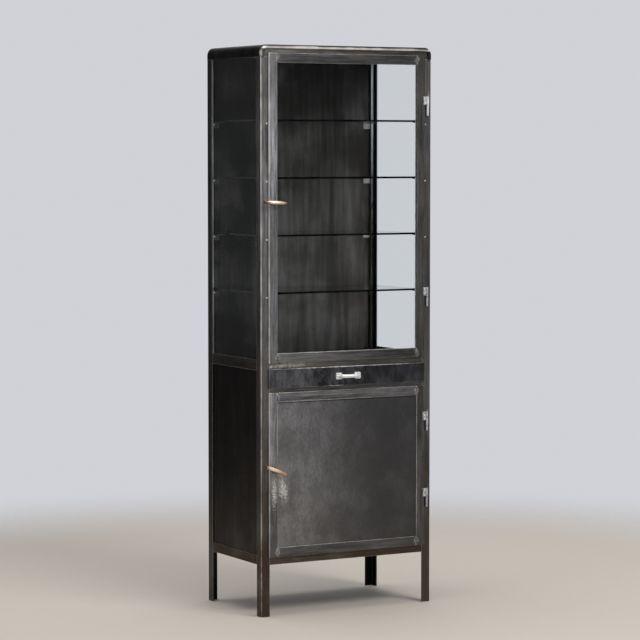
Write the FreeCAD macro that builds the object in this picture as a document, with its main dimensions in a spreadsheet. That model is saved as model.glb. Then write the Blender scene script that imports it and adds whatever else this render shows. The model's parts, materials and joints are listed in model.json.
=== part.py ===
"""Tall steel medicine cabinet: a glazed vitrine over a drawer and a panelled cupboard.

The frame is X across the width, -Y towards the front, +Z up, with the origin under the middle of the
whole object. Every formula below takes y from the front face of the posts, and front_shift centres it.
"""
import FreeCAD, Part
import os
import re

import Sketcher

# Driving dimensions, in millimetres unless the name says otherwise
SIZES = {
    # Welded angle-iron frame
    "body_width": 620,
    "body_depth": 370,
    "leg_clear": 165,
    "angle_leg": 30,
    "angle_wall": 3,
    "angle_edge": 1,
    "lower_bay": 508,
    "drawer_rail": 24,
    "drawer_bay": 53,
    "mid_rail": 34,
    "vitrine_bay": 948,
    # Rolled top cap
    "cap_height": 38,
    "cap_radius": 24,
    "nose_diameter": 13,
    # Sheets, panes and the clearances around them
    "sheet_wall": 1.2,
    "sheet_clearance": 0.2,
    "side_glass_wall": 4,
    "top_lap": 10,
    "side_bead": 8,
    # Glass shelves and their clips
    "shelf_wall": 6,
    "shelf_count": 4,
    "shelf_pitch": 181.5,
    "first_screw_rise": 225,
    "shelf_side_gap": 34,
    "shelf_setback": 32,
    "shelf_bearing": 6,
    "tongue_bearing": 11,
    "clip_margin": 16,
    "clip_wall": 2,
    "clip_drop": 12,
    "clip_rise": 8,
    "clip_screw_inset": 20.9,
    "clip_screw_diameter": 4,
    "clip_screw_head": 6.4,
    "clip_screw_head_height": 2.6,
    "dome_share": 0.9,
    "clip_screw_length": 10,
    "slot_width": 1.1,
    "slot_depth": 1.2,
    "hole_clearance": 0.1,
    # Doors
    "door_margin": 25,
    "door_depth": 7,
    "door_gap": 0.7,
    "door_wall": 2,
    "door_member": 30,
    "door_edge_round": 0.8,
    "upper_door_top_lap": 12,
    "upper_door_bottom_lap": 11,
    "lower_door_top_lap": 6.5,
    "lower_door_bottom_lap": 6,
    "pane_lap": 8,
    "door_glass_wall": 4,
    "door_bead": 6,
    "door_panel_wall": 1.5,
    # Lift-off hinges
    "hinge_offset": 10,
    "barrel_diameter": 8,
    "barrel_round": 1,
    "pin_diameter": 5,
    "pin_length": 22,
    "pin_clearance": 0.05,
    "pin_half_height": 34,
    "knuckle_height": 27,
    "knuckle_gap": 0.2,
    "leaf_length": 18,
    "leaf_wall": 2,
    "foot_width": 6,
    "upper_hinge_from_top": 158,
    "upper_hinge_from_bottom": 198,
    "lower_hinge_from_top": 113,
    "lower_hinge_from_bottom": 158,
    # Turn handles and latches
    "upper_handle_rise": 504,
    "lower_handle_rise": 277,
    "upper_handle_tilt_degrees": 4,
    "lower_handle_tilt_degrees": 21,
    "bar_length": 79.5,
    "bar_diameter": 14,
    "bar_end_diameter": 8,
    "bar_end_round": 2.5,
    "bar_standoff": 17,
    "spindle_diameter": 8,
    "spindle_tail_diameter": 6,
    "rivet_diameter": 9,
    "rivet_height": 1.5,
    "bush_diameter": 17,
    "bush_height": 5,
    "bush_round": 1.5,
    "fit_clearance": 0.05,
    "stile_hole_clearance": 0.3,
    "latch_gap": 1,
    "latch_wall": 3,
    "latch_width": 10,
    "latch_reach": 22,
    "latch_heel": 6,
    "latch_round": 4,
    # Drawer
    "drawer_lap": 4,
    "drawer_front_wall": 1.5,
    "drawer_clear": 3,
    "drawer_side_clear": 0.5,
    "tray_wall": 1.2,
    "tray_depth": 305,
    "runner_width": 20,
    "runner_height": 18,
    "runner_wall": 2,
    "runner_gap": 0.3,
    # Bow pull of the drawer
    "pull_length": 90,
    "pull_pad_width": 22,
    "pull_pad_height": 21,
    "pull_pad_wall": 4,
    "pull_pad_corner": 4,
    "pull_pad_round": 1.2,
    "pull_bar_diameter": 12,
    "pull_bar_rise": 18,
    "pull_bend": 10,
    "pull_foot_inset": 16,
    "pull_screw_inset": 6,
    "pull_screw_diameter": 4,
    "pull_screw_head": 7,
    "pull_screw_head_height": 2,
    "pull_screw_tail": 3,
    # Cuts run past the face that they open
    "overrun": 1,
}

# Places and spans that follow from the driving dimensions
LEVELS = {
    "half_width": "body_width / 2",
    "post_edge": "half_width - angle_leg",
    "door_edge": "half_width - door_margin",
    "inner_half": "half_width - angle_wall",
    "bottom_rail_top": "leg_clear + angle_leg",
    "drawer_rail_bottom": "bottom_rail_top + lower_bay",
    "drawer_rail_top": "drawer_rail_bottom + drawer_rail",
    "mid_rail_bottom": "drawer_rail_top + drawer_bay",
    "mid_rail_top": "mid_rail_bottom + mid_rail",
    "cap_bottom": "mid_rail_top + vitrine_bay",
    "body_top": "cap_bottom + cap_height",
    "deck": "leg_clear + angle_wall",
    "floor_seat": "mid_rail_bottom + angle_wall",
    "floor_top": "floor_seat + sheet_wall",
    "back_inside": "body_depth - angle_wall",
    "back_face": "back_inside - sheet_wall",
    "pane_top": "cap_bottom + top_lap",
    "pane_end": "nose_diameter / 2 + sheet_clearance",
    "upper_door_bottom": "mid_rail_top - upper_door_bottom_lap",
    "upper_door_top": "cap_bottom + upper_door_top_lap",
    "lower_door_bottom": "bottom_rail_top - lower_door_bottom_lap",
    "lower_door_top": "drawer_rail_bottom + lower_door_top_lap",
    "first_screw": "floor_top + first_screw_rise",
    "clip_screw_x": "half_width - clip_screw_inset",
    "clip_outer": "half_width - clip_margin",
    "shelf_edge": "half_width - shelf_side_gap",
    "clip_inner": "shelf_edge - shelf_bearing",
    "handle_x": "door_edge - door_member / 2",
    "upper_handle_level": "upper_door_bottom + upper_handle_rise",
    "lower_handle_level": "lower_door_bottom + lower_handle_rise",
    "hinge_x": "door_edge + hinge_offset",
    "hinge_y": "barrel_diameter / 2 - door_depth - leaf_wall",
    "pane_edge": "door_edge - door_member + pane_lap",
    "drawer_front_bottom": "drawer_rail_top - drawer_lap",
    "drawer_front_top": "mid_rail_bottom + drawer_lap",
    "drawer_middle": "(drawer_front_bottom + drawer_front_top) / 2",
    "tray_bottom": "drawer_rail_top + drawer_clear",
    "tray_top": "mid_rail_bottom - drawer_clear",
    "tray_edge": "post_edge - drawer_side_clear",
    "tray_front": "drawer_front_wall - door_depth",
    "runner_edge": "post_edge + runner_wall",
    "runner_bottom": "tray_bottom - runner_gap - runner_wall",
    "pull_screw_x": "pull_length / 2 - pull_screw_inset",
    "bar_y": "-(door_depth + bar_standoff)",
    "bar_swell": "(bar_diameter - bar_end_diameter) / 2",
    "bar_bow": "(bar_length * bar_length / 4 + bar_swell * bar_swell) / (2 * bar_swell)",
    "latch_front": "angle_wall + latch_gap",
    "latch_back": "latch_front + latch_wall",
    "front_reach": "door_depth + bar_standoff + bar_diameter / 2",
    "back_reach": "body_depth + clip_screw_head_height",
    "front_shift": "(front_reach - back_reach) / 2",
}

# How near an edge lies to the spot that names it
NEAR = 1e-3
LEFT, RIGHT = -1, 1

doc = FreeCAD.newDocument("medicine_cabinet")
sizes = doc.addObject("Spreadsheet::Sheet", "Sizes")
for row, (alias, length) in enumerate(SIZES.items(), start=1):
    sizes.set(f"A{row}", alias)
    sizes.set(f"B{row}", str(length))
    sizes.setAlias(f"B{row}", alias)
levels = doc.addObject("Spreadsheet::Sheet", "Levels")
scratch = doc.addObject("Spreadsheet::Sheet", "Scratch")
nodes = []


# Formulas

def formula(text):
    """Returns a formula with each size or level named in its own sheet."""
    def in_sheet(match):
        word = match.group(0)
        if word in SIZES:
            return "Sizes." + word
        return "Levels." + word if word in LEVELS else word
    return re.sub(r"[a-z][a-z_]*", in_sheet, text)


def number(text):
    """Returns the value of a formula, worked out by a cell of the scratch sheet."""
    scratch.set("A1", "=" + formula(text))
    scratch.recompute()
    return float(scratch.get("A1"))


for row, (alias, text) in enumerate(LEVELS.items(), start=1):
    levels.set(f"A{row}", alias)
    levels.set(f"B{row}", "=" + formula(text).replace("Levels.", ""))
    levels.setAlias(f"B{row}", alias)
    levels.recompute()
doc.recompute()


# Drawing and shaping

def place(piece, x="0", y="0", z="0"):
    """Ties a piece's place to formulas, with y counted from the front face of the posts."""
    piece.setExpression("Placement.Base.x", formula(x))
    piece.setExpression("Placement.Base.y", formula(f"front_shift + ({y})"))
    piece.setExpression("Placement.Base.z", formula(z))


def new_body(label, keep=True):
    """Returns a new body; one that is kept is a node of the part."""
    body = doc.addObject("PartDesign::Body", label)
    body.Label = label
    if keep:
        nodes.append(body)
        place(body)
    return body


def sketch_on(body, role, rise="0"):
    """Returns an empty sketch on an origin plane of a body, moved along the plane's normal."""
    sketch = body.newObject("Sketcher::SketchObject", body.Name + "_sketch")
    plane = next(part for part in body.Origin.OriginFeatures if part.Role == role)
    sketch.AttachmentSupport = [(plane, "")]
    sketch.MapMode = "FlatFace"
    sketch.setExpression("AttachmentOffset.Base.z", formula(rise))
    return sketch


def pin_point(sketch, edge, point, x, y):
    """Ties one point of a sketch to two formulas."""
    for kind, text in (("DistanceX", x), ("DistanceY", y)):
        index = sketch.addConstraint(Sketcher.Constraint(kind, -1, 1, edge, point, number(text)))
        sketch.setExpression(f"Constraints[{index}]", formula(text))


def outline(sketch, corners):
    """Draws a closed outline of straight edges, each corner given by two formulas."""
    points = [FreeCAD.Vector(number(x), number(y), 0) for x, y in corners]
    last = len(points)
    edges = [sketch.addGeometry(Part.LineSegment(points[i], points[(i + 1) % last])) for i in range(last)]
    for i, (x, y) in enumerate(corners):
        sketch.addConstraint(Sketcher.Constraint("Coincident", edges[i - 1], 2, edges[i], 1))
        pin_point(sketch, edges[i], 1, x, y)
    return sketch


def rectangle(sketch, x_low, x_high, y_low, y_high):
    """Draws a rectangle between four formulas."""
    return outline(sketch, [(x_low, y_low), (x_high, y_low), (x_high, y_high), (x_low, y_high)])


def circle(sketch, x, y, diameter):
    """Draws a circle whose centre and diameter are formulas."""
    centre = FreeCAD.Vector(number(x), number(y), 0)
    edge = sketch.addGeometry(Part.Circle(centre, FreeCAD.Vector(0, 0, 1), number(diameter) / 2))
    pin_point(sketch, edge, 3, x, y)
    index = sketch.addConstraint(Sketcher.Constraint("Diameter", edge, number(diameter)))
    sketch.setExpression(f"Constraints[{index}]", formula(diameter))
    return sketch


def arch(sketch, half_span, foot, crown, radius):
    """Draws an open path: up at minus half_span, round two equal bends and down at plus half_span."""
    rise = 1 if number(crown) > number(foot) else -1
    inner, shoulder = f"({half_span} - ({radius}))", f"({crown} - {rise} * ({radius}))"
    ends = [(f"-({half_span})", foot), (f"-({half_span})", shoulder), (f"-{inner}", crown),
            (inner, crown), (half_span, shoulder), (half_span, foot)]
    points = [FreeCAD.Vector(number(x), number(y), 0) for x, y in ends]
    lines = [sketch.addGeometry(Part.LineSegment(points[i], points[i + 1])) for i in (0, 2, 4)]
    for line, start in zip(lines, (0, 2, 4)):
        pin_point(sketch, line, 1, *ends[start])
        pin_point(sketch, line, 2, *ends[start + 1])
    bend = number(radius)
    for side, before in ((-1, 0), (1, 1)):
        knee = FreeCAD.Vector(side * number(inner), number(shoulder), 0)
        lean = FreeCAD.Vector(side, rise, 0).normalize() * bend
        first, last = points[2 * before + 1], points[2 * before + 2]
        bow = sketch.addGeometry(Part.Arc(first, knee + lean, last))
        near, far = (1, 2) if sketch.getPoint(bow, 1).distanceToPoint(first) < bend / 2 else (2, 1)
        sketch.addConstraint(Sketcher.Constraint("Coincident", lines[before], 2, bow, near))
        sketch.addConstraint(Sketcher.Constraint("Coincident", bow, far, lines[before + 1], 1))
        index = sketch.addConstraint(Sketcher.Constraint("Radius", bow, bend))
        sketch.setExpression(f"Constraints[{index}]", formula(radius))
    return sketch


def barrel(sketch, half_length, end, middle, bow):
    """Draws half of a barrel's section: its axis, two ends and the bowed edge between them."""
    ends = [(f"-({half_length})", end), (f"-({half_length})", "0"), (half_length, "0"), (half_length, end)]
    points = [FreeCAD.Vector(number(x), number(y), 0) for x, y in ends]
    lines = [sketch.addGeometry(Part.LineSegment(points[i], points[i + 1])) for i in range(3)]
    for line in lines[1:]:
        sketch.addConstraint(Sketcher.Constraint("Coincident", line - 1, 2, line, 1))
    for line, corner in zip(lines, ends):
        pin_point(sketch, line, 1, *corner)
    pin_point(sketch, lines[-1], 2, *ends[-1])
    edge = sketch.addGeometry(Part.Arc(points[0], FreeCAD.Vector(0, number(middle), 0), points[-1]))
    first, last = (1, 2) if sketch.getPoint(edge, 1).x < 0 else (2, 1)
    sketch.addConstraint(Sketcher.Constraint("Coincident", edge, first, lines[0], 1))
    sketch.addConstraint(Sketcher.Constraint("Coincident", edge, last, lines[-1], 2))
    index = sketch.addConstraint(Sketcher.Constraint("Radius", edge, number(bow)))
    sketch.setExpression(f"Constraints[{index}]", formula(bow))
    return sketch


def pad(body, sketch, length, backwards=False, both_ways=False):
    """Pads a sketch along its plane's normal, against it, or half each way."""
    feature = body.newObject("PartDesign::Pad", body.Name + "_pad")
    feature.Profile = sketch
    feature.setExpression("Length", formula(length))
    feature.Reversed = backwards
    feature.SideType = "Symmetric" if both_ways else "One side"
    return feature


def pocket(body, sketch, length, backwards=False):
    """Cuts a sketch into a body, against its plane's normal or along it."""
    feature = body.newObject("PartDesign::Pocket", body.Name + "_pocket")
    feature.Profile = sketch
    feature.Type = "Length"
    feature.setExpression("Length", formula(length))
    feature.Reversed = backwards
    return feature


def revolve(body, sketch, axis="V_Axis"):
    """Turns a sketch round one of its own axes."""
    feature = body.newObject("PartDesign::Revolution", body.Name + "_turned")
    feature.Profile = sketch
    feature.ReferenceAxis = (sketch, [axis])
    feature.Angle = 360
    return feature


def sweep(body, profile, path):
    """Sweeps one sketch along another."""
    feature = body.newObject("PartDesign::AdditivePipe", body.Name + "_sweep")
    feature.Profile = profile
    feature.Spine = path
    return feature


def round_edges(body, radius, *spots):
    """Rounds the edges of a body that lie wholly on one of the spots, each an axis-to-formula table."""
    doc.recompute()
    base = body.Tip
    wanted = [[(axis, number(text)) for axis, text in spot.items()] for spot in spots]
    names = []
    for index, edge in enumerate(base.Shape.Edges, start=1):
        box = edge.BoundBox
        span = {"x": (box.XMin, box.XMax), "y": (box.YMin, box.YMax), "z": (box.ZMin, box.ZMax)}
        if any(all(abs(end - at) < NEAR for axis, at in spot for end in span[axis]) for spot in wanted):
            names.append(f"Edge{index}")
    feature = body.newObject("PartDesign::Fillet", body.Name + "_round")
    feature.Base = (base, names)
    feature.setExpression("Radius", formula(radius))
    return feature


def repeat_upwards(body, feature):
    """Repeats a cut at every shelf level."""
    pattern = body.newObject("PartDesign::LinearPattern", body.Name + "_levels")
    pattern.Originals = [feature]
    axis = next(part for part in body.Origin.OriginFeatures if part.Role == "Z_Axis")
    pattern.Direction = (axis, [""])
    pattern.setExpression("Length", formula("shelf_pitch * (shelf_count - 1)"))
    pattern.setExpression("Occurrences", formula("shelf_count"))
    body.Tip = pattern
    return pattern


def slab(label, x, y, z, keep=True):
    """Returns a flat sheet or square bar between pairs of formulas along x, y and z."""
    piece = doc.addObject("Part::Box", label)
    piece.Label = label
    for side, (low, high) in zip(("Length", "Width", "Height"), (x, y, z)):
        piece.setExpression(side, formula(f"{high} - ({low})"))
    place(piece, x[0], y[0], z[0])
    if keep:
        nodes.append(piece)
    return piece


def group(label, shapes):
    """Returns one node that holds identical pieces as separate solids."""
    piece = doc.addObject("Part::Feature", label)
    piece.Label = label
    piece.Shape = Part.Compound(shapes)
    place(piece)
    nodes.append(piece)
    return piece


def moved(shape, x="0", y="0", z="0"):
    """Returns a copy of a shape moved by three formulas."""
    return shape.translated(FreeCAD.Vector(number(x), number(y), number(z)))


def mirrored(shape, normal, at="0"):
    """Returns a copy of a shape mirrored in the plane that stands at a formula along its normal."""
    direction = FreeCAD.Vector(*normal)
    return shape.mirror(direction * number(at), direction)


def both(half):
    """Returns the pair of formulas that spans from minus to plus half a width."""
    return f"-({half})", half


def on_side(side, near, far):
    """Returns the pair of formulas, low first, that spans near to far on one side of the middle."""
    return (near, far) if side == RIGHT else (f"-({far})", f"-({near})")


# Posts, rails and top cap

def angle_corners(lean, foot, rise, flange, height):
    """Returns the corners of an angle: upright wall at foot, flange turned in at its bottom end."""
    inward = f"({lean}) * "
    return [(foot, rise), (f"{foot} + {inward}{flange}", rise),
            (f"{foot} + {inward}{flange}", f"{rise} + angle_wall"),
            (f"{foot} + {inward}angle_wall", f"{rise} + angle_wall"),
            (f"{foot} + {inward}angle_wall", f"{rise} + {height}"), (foot, f"{rise} + {height}")]


def post(label, side, rear):
    """Builds one corner post with its row of screw holes."""
    body = new_body(label)
    outer, edge, inner = f"{side} * half_width", f"{side} * post_edge", f"{side} * inner_half"
    reaches = ("0", "angle_wall", "angle_leg")
    face, wall, leg = [f"body_depth - {reach}" if rear else reach for reach in reaches]
    section = sketch_on(body, "XY_Plane")
    outline(section, [(outer, face), (edge, face), (edge, wall), (inner, wall), (inner, leg), (outer, leg)])
    pad(body, section, "cap_bottom")
    round_edges(body, "angle_edge", {"x": outer, "y": face})
    holes = sketch_on(body, "XZ_Plane", "overrun - back_inside" if rear else "overrun")
    circle(holes, f"{side} * clip_screw_x", "first_screw", "clip_screw_diameter + 2 * hole_clearance")
    repeat_upwards(body, pocket(body, holes, "angle_wall + 2 * overrun"))


def cross_rail(label, bottom, height, rear=False, flange="angle_leg"):
    """Builds an angle rail between two posts, along the width."""
    body = new_body(label)
    section = sketch_on(body, "YZ_Plane")
    lean, foot = ("-1", "body_depth") if rear else ("1", "0")
    outline(section, angle_corners(lean, foot, bottom, flange, height))
    pad(body, section, "2 * post_edge", both_ways=True)


def side_rail(label, side, bottom, height):
    """Builds an angle rail between a front and a rear post."""
    body = new_body(label)
    section = sketch_on(body, "XZ_Plane")
    outline(section, angle_corners(f"{-side}", f"{side} * half_width", bottom, "angle_leg", height))
    pad(body, section, "body_depth - 2 * angle_leg", backwards=True)
    place(body, y="angle_leg")


post("front_left_post", LEFT, rear=False)
post("front_right_post", RIGHT, rear=False)
post("rear_left_post", LEFT, rear=True)
post("rear_right_post", RIGHT, rear=True)
cross_rail("middle_front_rail", "mid_rail_bottom", "mid_rail")
cross_rail("drawer_front_rail", "drawer_rail_bottom", "drawer_rail", flange="drawer_rail")
cross_rail("bottom_front_rail", "leg_clear", "angle_leg")
cross_rail("middle_rear_rail", "mid_rail_bottom", "mid_rail", rear=True)
cross_rail("bottom_rear_rail", "leg_clear", "angle_leg", rear=True)
for side, name in ((LEFT, "left"), (RIGHT, "right")):
    side_rail(f"{name}_middle_rail", side, "mid_rail_bottom", "mid_rail")
    side_rail(f"{name}_bottom_rail", side, "leg_clear", "angle_leg")

# The cap is a bent sheet with a round nose swept along its front edge
top_cap = new_body("top_cap")
bent_sheet = sketch_on(top_cap, "XZ_Plane")
outline(bent_sheet, [("-half_width", "cap_bottom"), ("-half_width", "body_top"), ("half_width", "body_top"),
                     ("half_width", "cap_bottom"), ("inner_half", "cap_bottom"),
                     ("inner_half", "body_top - angle_wall"), ("-inner_half", "body_top - angle_wall"),
                     ("-inner_half", "cap_bottom")])
pad(top_cap, bent_sheet, "body_depth", backwards=True)
round_edges(top_cap, "cap_radius", {"x": "half_width", "z": "body_top"},
            {"x": "-half_width", "z": "body_top"})
round_edges(top_cap, "cap_radius - angle_wall", {"x": "inner_half", "z": "body_top - angle_wall"},
            {"x": "-inner_half", "z": "body_top - angle_wall"})
nose_path = arch(sketch_on(top_cap, "XZ_Plane"), "half_width - nose_diameter / 2", "cap_bottom",
                 "body_top - nose_diameter / 2", "cap_radius - nose_diameter / 2")
nose_section = circle(sketch_on(top_cap, "XY_Plane", "cap_bottom"), "nose_diameter / 2 - half_width", "0",
                      "nose_diameter")
sweep(top_cap, nose_section, nose_path)


def top_rail(label, half, top, corner, face):
    """Builds a flat bar that closes one end of the cap."""
    body = new_body(label)
    face_sketch = rectangle(sketch_on(body, "XZ_Plane"), *both(half), "cap_bottom", top)
    pad(body, face_sketch, "angle_wall", backwards=True)
    round_edges(body, corner, {"x": half, "z": top}, {"x": f"-({half})", "z": top})
    place(body, y=face)


top_rail("top_front_rail", "half_width - nose_diameter", "body_top - nose_diameter",
         "cap_radius - nose_diameter", "0")
top_rail("top_rear_rail", "inner_half", "body_top - angle_wall", "cap_radius - angle_wall", "back_inside")

# Sheets and panes
slab("vitrine_floor", both("inner_half - sheet_clearance"),
     ("angle_wall + sheet_clearance", "back_inside - sheet_clearance"), ("floor_seat", "floor_top"))
slab("bottom_panel", both("inner_half - sheet_wall - sheet_clearance"),
     ("angle_wall + sheet_clearance", "back_face - sheet_clearance"), ("deck", "deck + sheet_wall"))
slab("lower_back_panel", both("inner_half - sheet_wall - sheet_clearance"), ("back_face", "back_inside"),
     ("deck", "mid_rail_bottom"))
upper_back = new_body("upper_back_panel")
pad(upper_back, rectangle(sketch_on(upper_back, "XZ_Plane"), *both("inner_half - sheet_clearance"),
                          "floor_top", "pane_top"), "sheet_wall", backwards=True)
back_holes = sketch_on(upper_back, "XZ_Plane", "overrun")
for side in (LEFT, RIGHT):
    circle(back_holes, f"{side} * clip_screw_x", "first_screw", "clip_screw_diameter + 2 * hole_clearance")
repeat_upwards(upper_back, pocket(upper_back, back_holes, "sheet_wall + 2 * overrun"))
place(upper_back, y="back_face")

beads = []
for side, name in ((LEFT, "left"), (RIGHT, "right")):
    slab(f"{name}_lower_panel", on_side(side, "inner_half - sheet_wall", "inner_half"),
         ("angle_wall + sheet_clearance", "back_inside - sheet_clearance"), ("deck", "mid_rail_bottom"))
    slab(f"{name}_side_glass", on_side(side, "inner_half - side_glass_wall", "inner_half"),
         ("pane_end", "body_depth - pane_end"), ("floor_top", "pane_top"))
    across = on_side(side, "inner_half - side_glass_wall - side_bead", "inner_half - side_glass_wall")
    front_end, rear_end = "pane_end + side_bead", "body_depth - pane_end - side_bead"
    beads += [
        slab(f"{name}_bead_front", across, ("pane_end", front_end), ("floor_top", "cap_bottom"), keep=False),
        slab(f"{name}_bead_rear", across, (rear_end, "body_depth - pane_end"), ("floor_top", "cap_bottom"),
             keep=False),
        slab(f"{name}_bead_foot", across, (front_end, rear_end), ("floor_top", "floor_top + side_bead"),
             keep=False),
        slab(f"{name}_bead_head", across, ("pane_end", "body_depth - pane_end"),
             ("pane_top - side_bead", "pane_top"), keep=False),
    ]


def bundle(label, pieces):
    """Returns one node made of several loose pieces."""
    piece = doc.addObject("Part::Compound", label)
    piece.Label = label
    piece.Links = pieces
    nodes.append(piece)


bundle("side_glass_beads", beads)

# Glass shelves on screwed clips
for level in range(SIZES["shelf_count"]):
    rest = f"first_screw + clip_rise + {level} * shelf_pitch"
    slab(f"glass_shelf_{level + 1}", both("shelf_edge"),
         ("angle_wall + shelf_setback", "back_face - shelf_setback"), (rest, f"{rest} + shelf_wall"))

clip = new_body("shelf_clip_pattern", keep=False)
tip, ledge = "angle_wall + shelf_setback + tongue_bearing", "first_screw + clip_rise"
clip_section = outline(sketch_on(clip, "YZ_Plane", "clip_inner"), [
    ("angle_wall", "first_screw - clip_drop"), ("angle_wall + clip_wall", "first_screw - clip_drop"),
    ("angle_wall + clip_wall", f"{ledge} - clip_wall"), (tip, f"{ledge} - clip_wall"), (tip, ledge),
    ("angle_wall", ledge)])
pad(clip, clip_section, "clip_outer - clip_inner")
clip_hole = circle(sketch_on(clip, "XZ_Plane", "overrun - angle_wall"), "clip_screw_x", "first_screw",
                   "clip_screw_diameter + 2 * hole_clearance")
pocket(clip, clip_hole, "clip_wall + 2 * overrun")


def screw(label, head, head_height, shank, length):
    """Builds a round-headed screw that points to +Y, its seat at the origin."""
    body = new_body(label, keep=False)
    revolve(body, outline(sketch_on(body, "XY_Plane"), [
        ("0", f"-{head_height}"), (f"{head} / 2", f"-{head_height}"), (f"{head} / 2", "0"),
        (f"{shank} / 2", "0"), (f"{shank} / 2", length), ("0", length)]))
    round_edges(body, f"{head_height} * dome_share", {"y": f"-{head_height}"})
    slot = sketch_on(body, "XZ_Plane", f"{head_height} + overrun")
    pocket(body, rectangle(slot, *both("slot_width / 2"), *both(f"{head} / 2")), "slot_depth + overrun")
    return body


clip_screw = screw("shelf_clip_screw_pattern", "clip_screw_head", "clip_screw_head_height",
                   "clip_screw_diameter", "clip_screw_length")
doc.recompute()
clips, clip_screws = [], []
for level in range(SIZES["shelf_count"]):
    climb = f"{level} * shelf_pitch"
    front_clip = moved(clip.Shape, z=climb)
    front_screw = moved(clip_screw.Shape, "clip_screw_x", "0", f"first_screw + {climb}")
    right_pair = [front_clip, mirrored(front_clip, (0, 1, 0), "(angle_wall + back_face) / 2")]
    right_screws = [front_screw, mirrored(front_screw, (0, 1, 0), "body_depth / 2")]
    clips += right_pair + [mirrored(shape, (1, 0, 0)) for shape in right_pair]
    clip_screws += right_screws + [mirrored(shape, (1, 0, 0)) for shape in right_screws]
group("shelf_clips", clips)
group("shelf_clip_screws", clip_screws)

# Lift-off hinges: the pin stays on the post and the knuckle lifts away with the door
pin_half = new_body("hinge_pin_pattern", keep=False)
pad(pin_half, circle(sketch_on(pin_half, "XY_Plane"), "0", "0", "barrel_diameter"), "pin_half_height",
    backwards=True)
pad(pin_half, rectangle(sketch_on(pin_half, "XY_Plane"), *both("foot_width / 2"), "0", "-hinge_y"),
    "pin_half_height", backwards=True)
pad(pin_half, circle(sketch_on(pin_half, "XY_Plane"), "0", "0", "pin_diameter"), "pin_length")
round_edges(pin_half, "barrel_round", {"z": "pin_length"})

knuckle = new_body("hinge_knuckle_pattern", keep=False)
pad(knuckle, circle(sketch_on(knuckle, "XY_Plane", "knuckle_gap"), "0", "0", "barrel_diameter"),
    "knuckle_height")
pad(knuckle, rectangle(sketch_on(knuckle, "XY_Plane", "knuckle_gap"), "-leaf_length", "0",
                       "-barrel_diameter / 2", "leaf_wall - barrel_diameter / 2"), "knuckle_height")
bore = circle(sketch_on(knuckle, "XY_Plane", "knuckle_gap - overrun"), "0", "0",
              "pin_diameter + 2 * pin_clearance")
pocket(knuckle, bore, "pin_length + overrun", backwards=True)
doc.recompute()

upper_hinges = ("upper_door_bottom + upper_hinge_from_bottom", "upper_door_top - upper_hinge_from_top")
lower_hinges = ("lower_door_bottom + lower_hinge_from_bottom", "lower_door_top - lower_hinge_from_top")
group("hinge_pins", [moved(pin_half.Shape, "hinge_x", "hinge_y", height)
                     for height in upper_hinges + lower_hinges])


# Doors

def door_member(label, face, lip, *front_edges, handle_level=None):
    """Builds one length of door angle: a face and a return, with a spindle hole in a lock stile."""
    body = new_body(label)
    pad(body, rectangle(sketch_on(body, "XZ_Plane"), *face), "door_wall", backwards=True)
    pad(body, rectangle(sketch_on(body, "XZ_Plane", "-door_wall"), *lip), "door_depth - door_gap - door_wall",
        backwards=True)
    round_edges(body, "door_edge_round", *[dict(edge, y="0") for edge in front_edges])
    if handle_level:
        hole = circle(sketch_on(body, "XZ_Plane", "overrun"), "-handle_x", handle_level,
                      "spindle_diameter + 2 * stile_hole_clearance")
        pocket(body, hole, "door_wall + 2 * overrun")
    place(body, y="-door_depth")


def door_frame(name, bottom, top, handle_level):
    """Builds the two full-height stiles of a door and the two rails that butt against them."""
    ends = ({"z": top}, {"z": bottom})
    for end, side, level in (("lock", LEFT, handle_level), ("hinge", RIGHT, None)):
        door_member(f"{name}_{end}_stile",
                    (*on_side(side, "door_edge - door_member", "door_edge"), bottom, top),
                    (*on_side(side, "door_edge - door_wall", "door_edge"), bottom, top),
                    {"x": f"{side} * door_edge"}, *ends, handle_level=level)
    between, behind = both("door_edge - door_member"), both("door_edge - door_wall")
    door_member(f"{name}_door_top_rail", (*between, f"{top} - door_member", top),
                (*behind, f"{top} - door_wall", top), {"z": top})
    door_member(f"{name}_door_bottom_rail", (*between, bottom, f"{bottom} + door_member"),
                (*behind, bottom, f"{bottom} + door_wall"), {"z": bottom})


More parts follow.
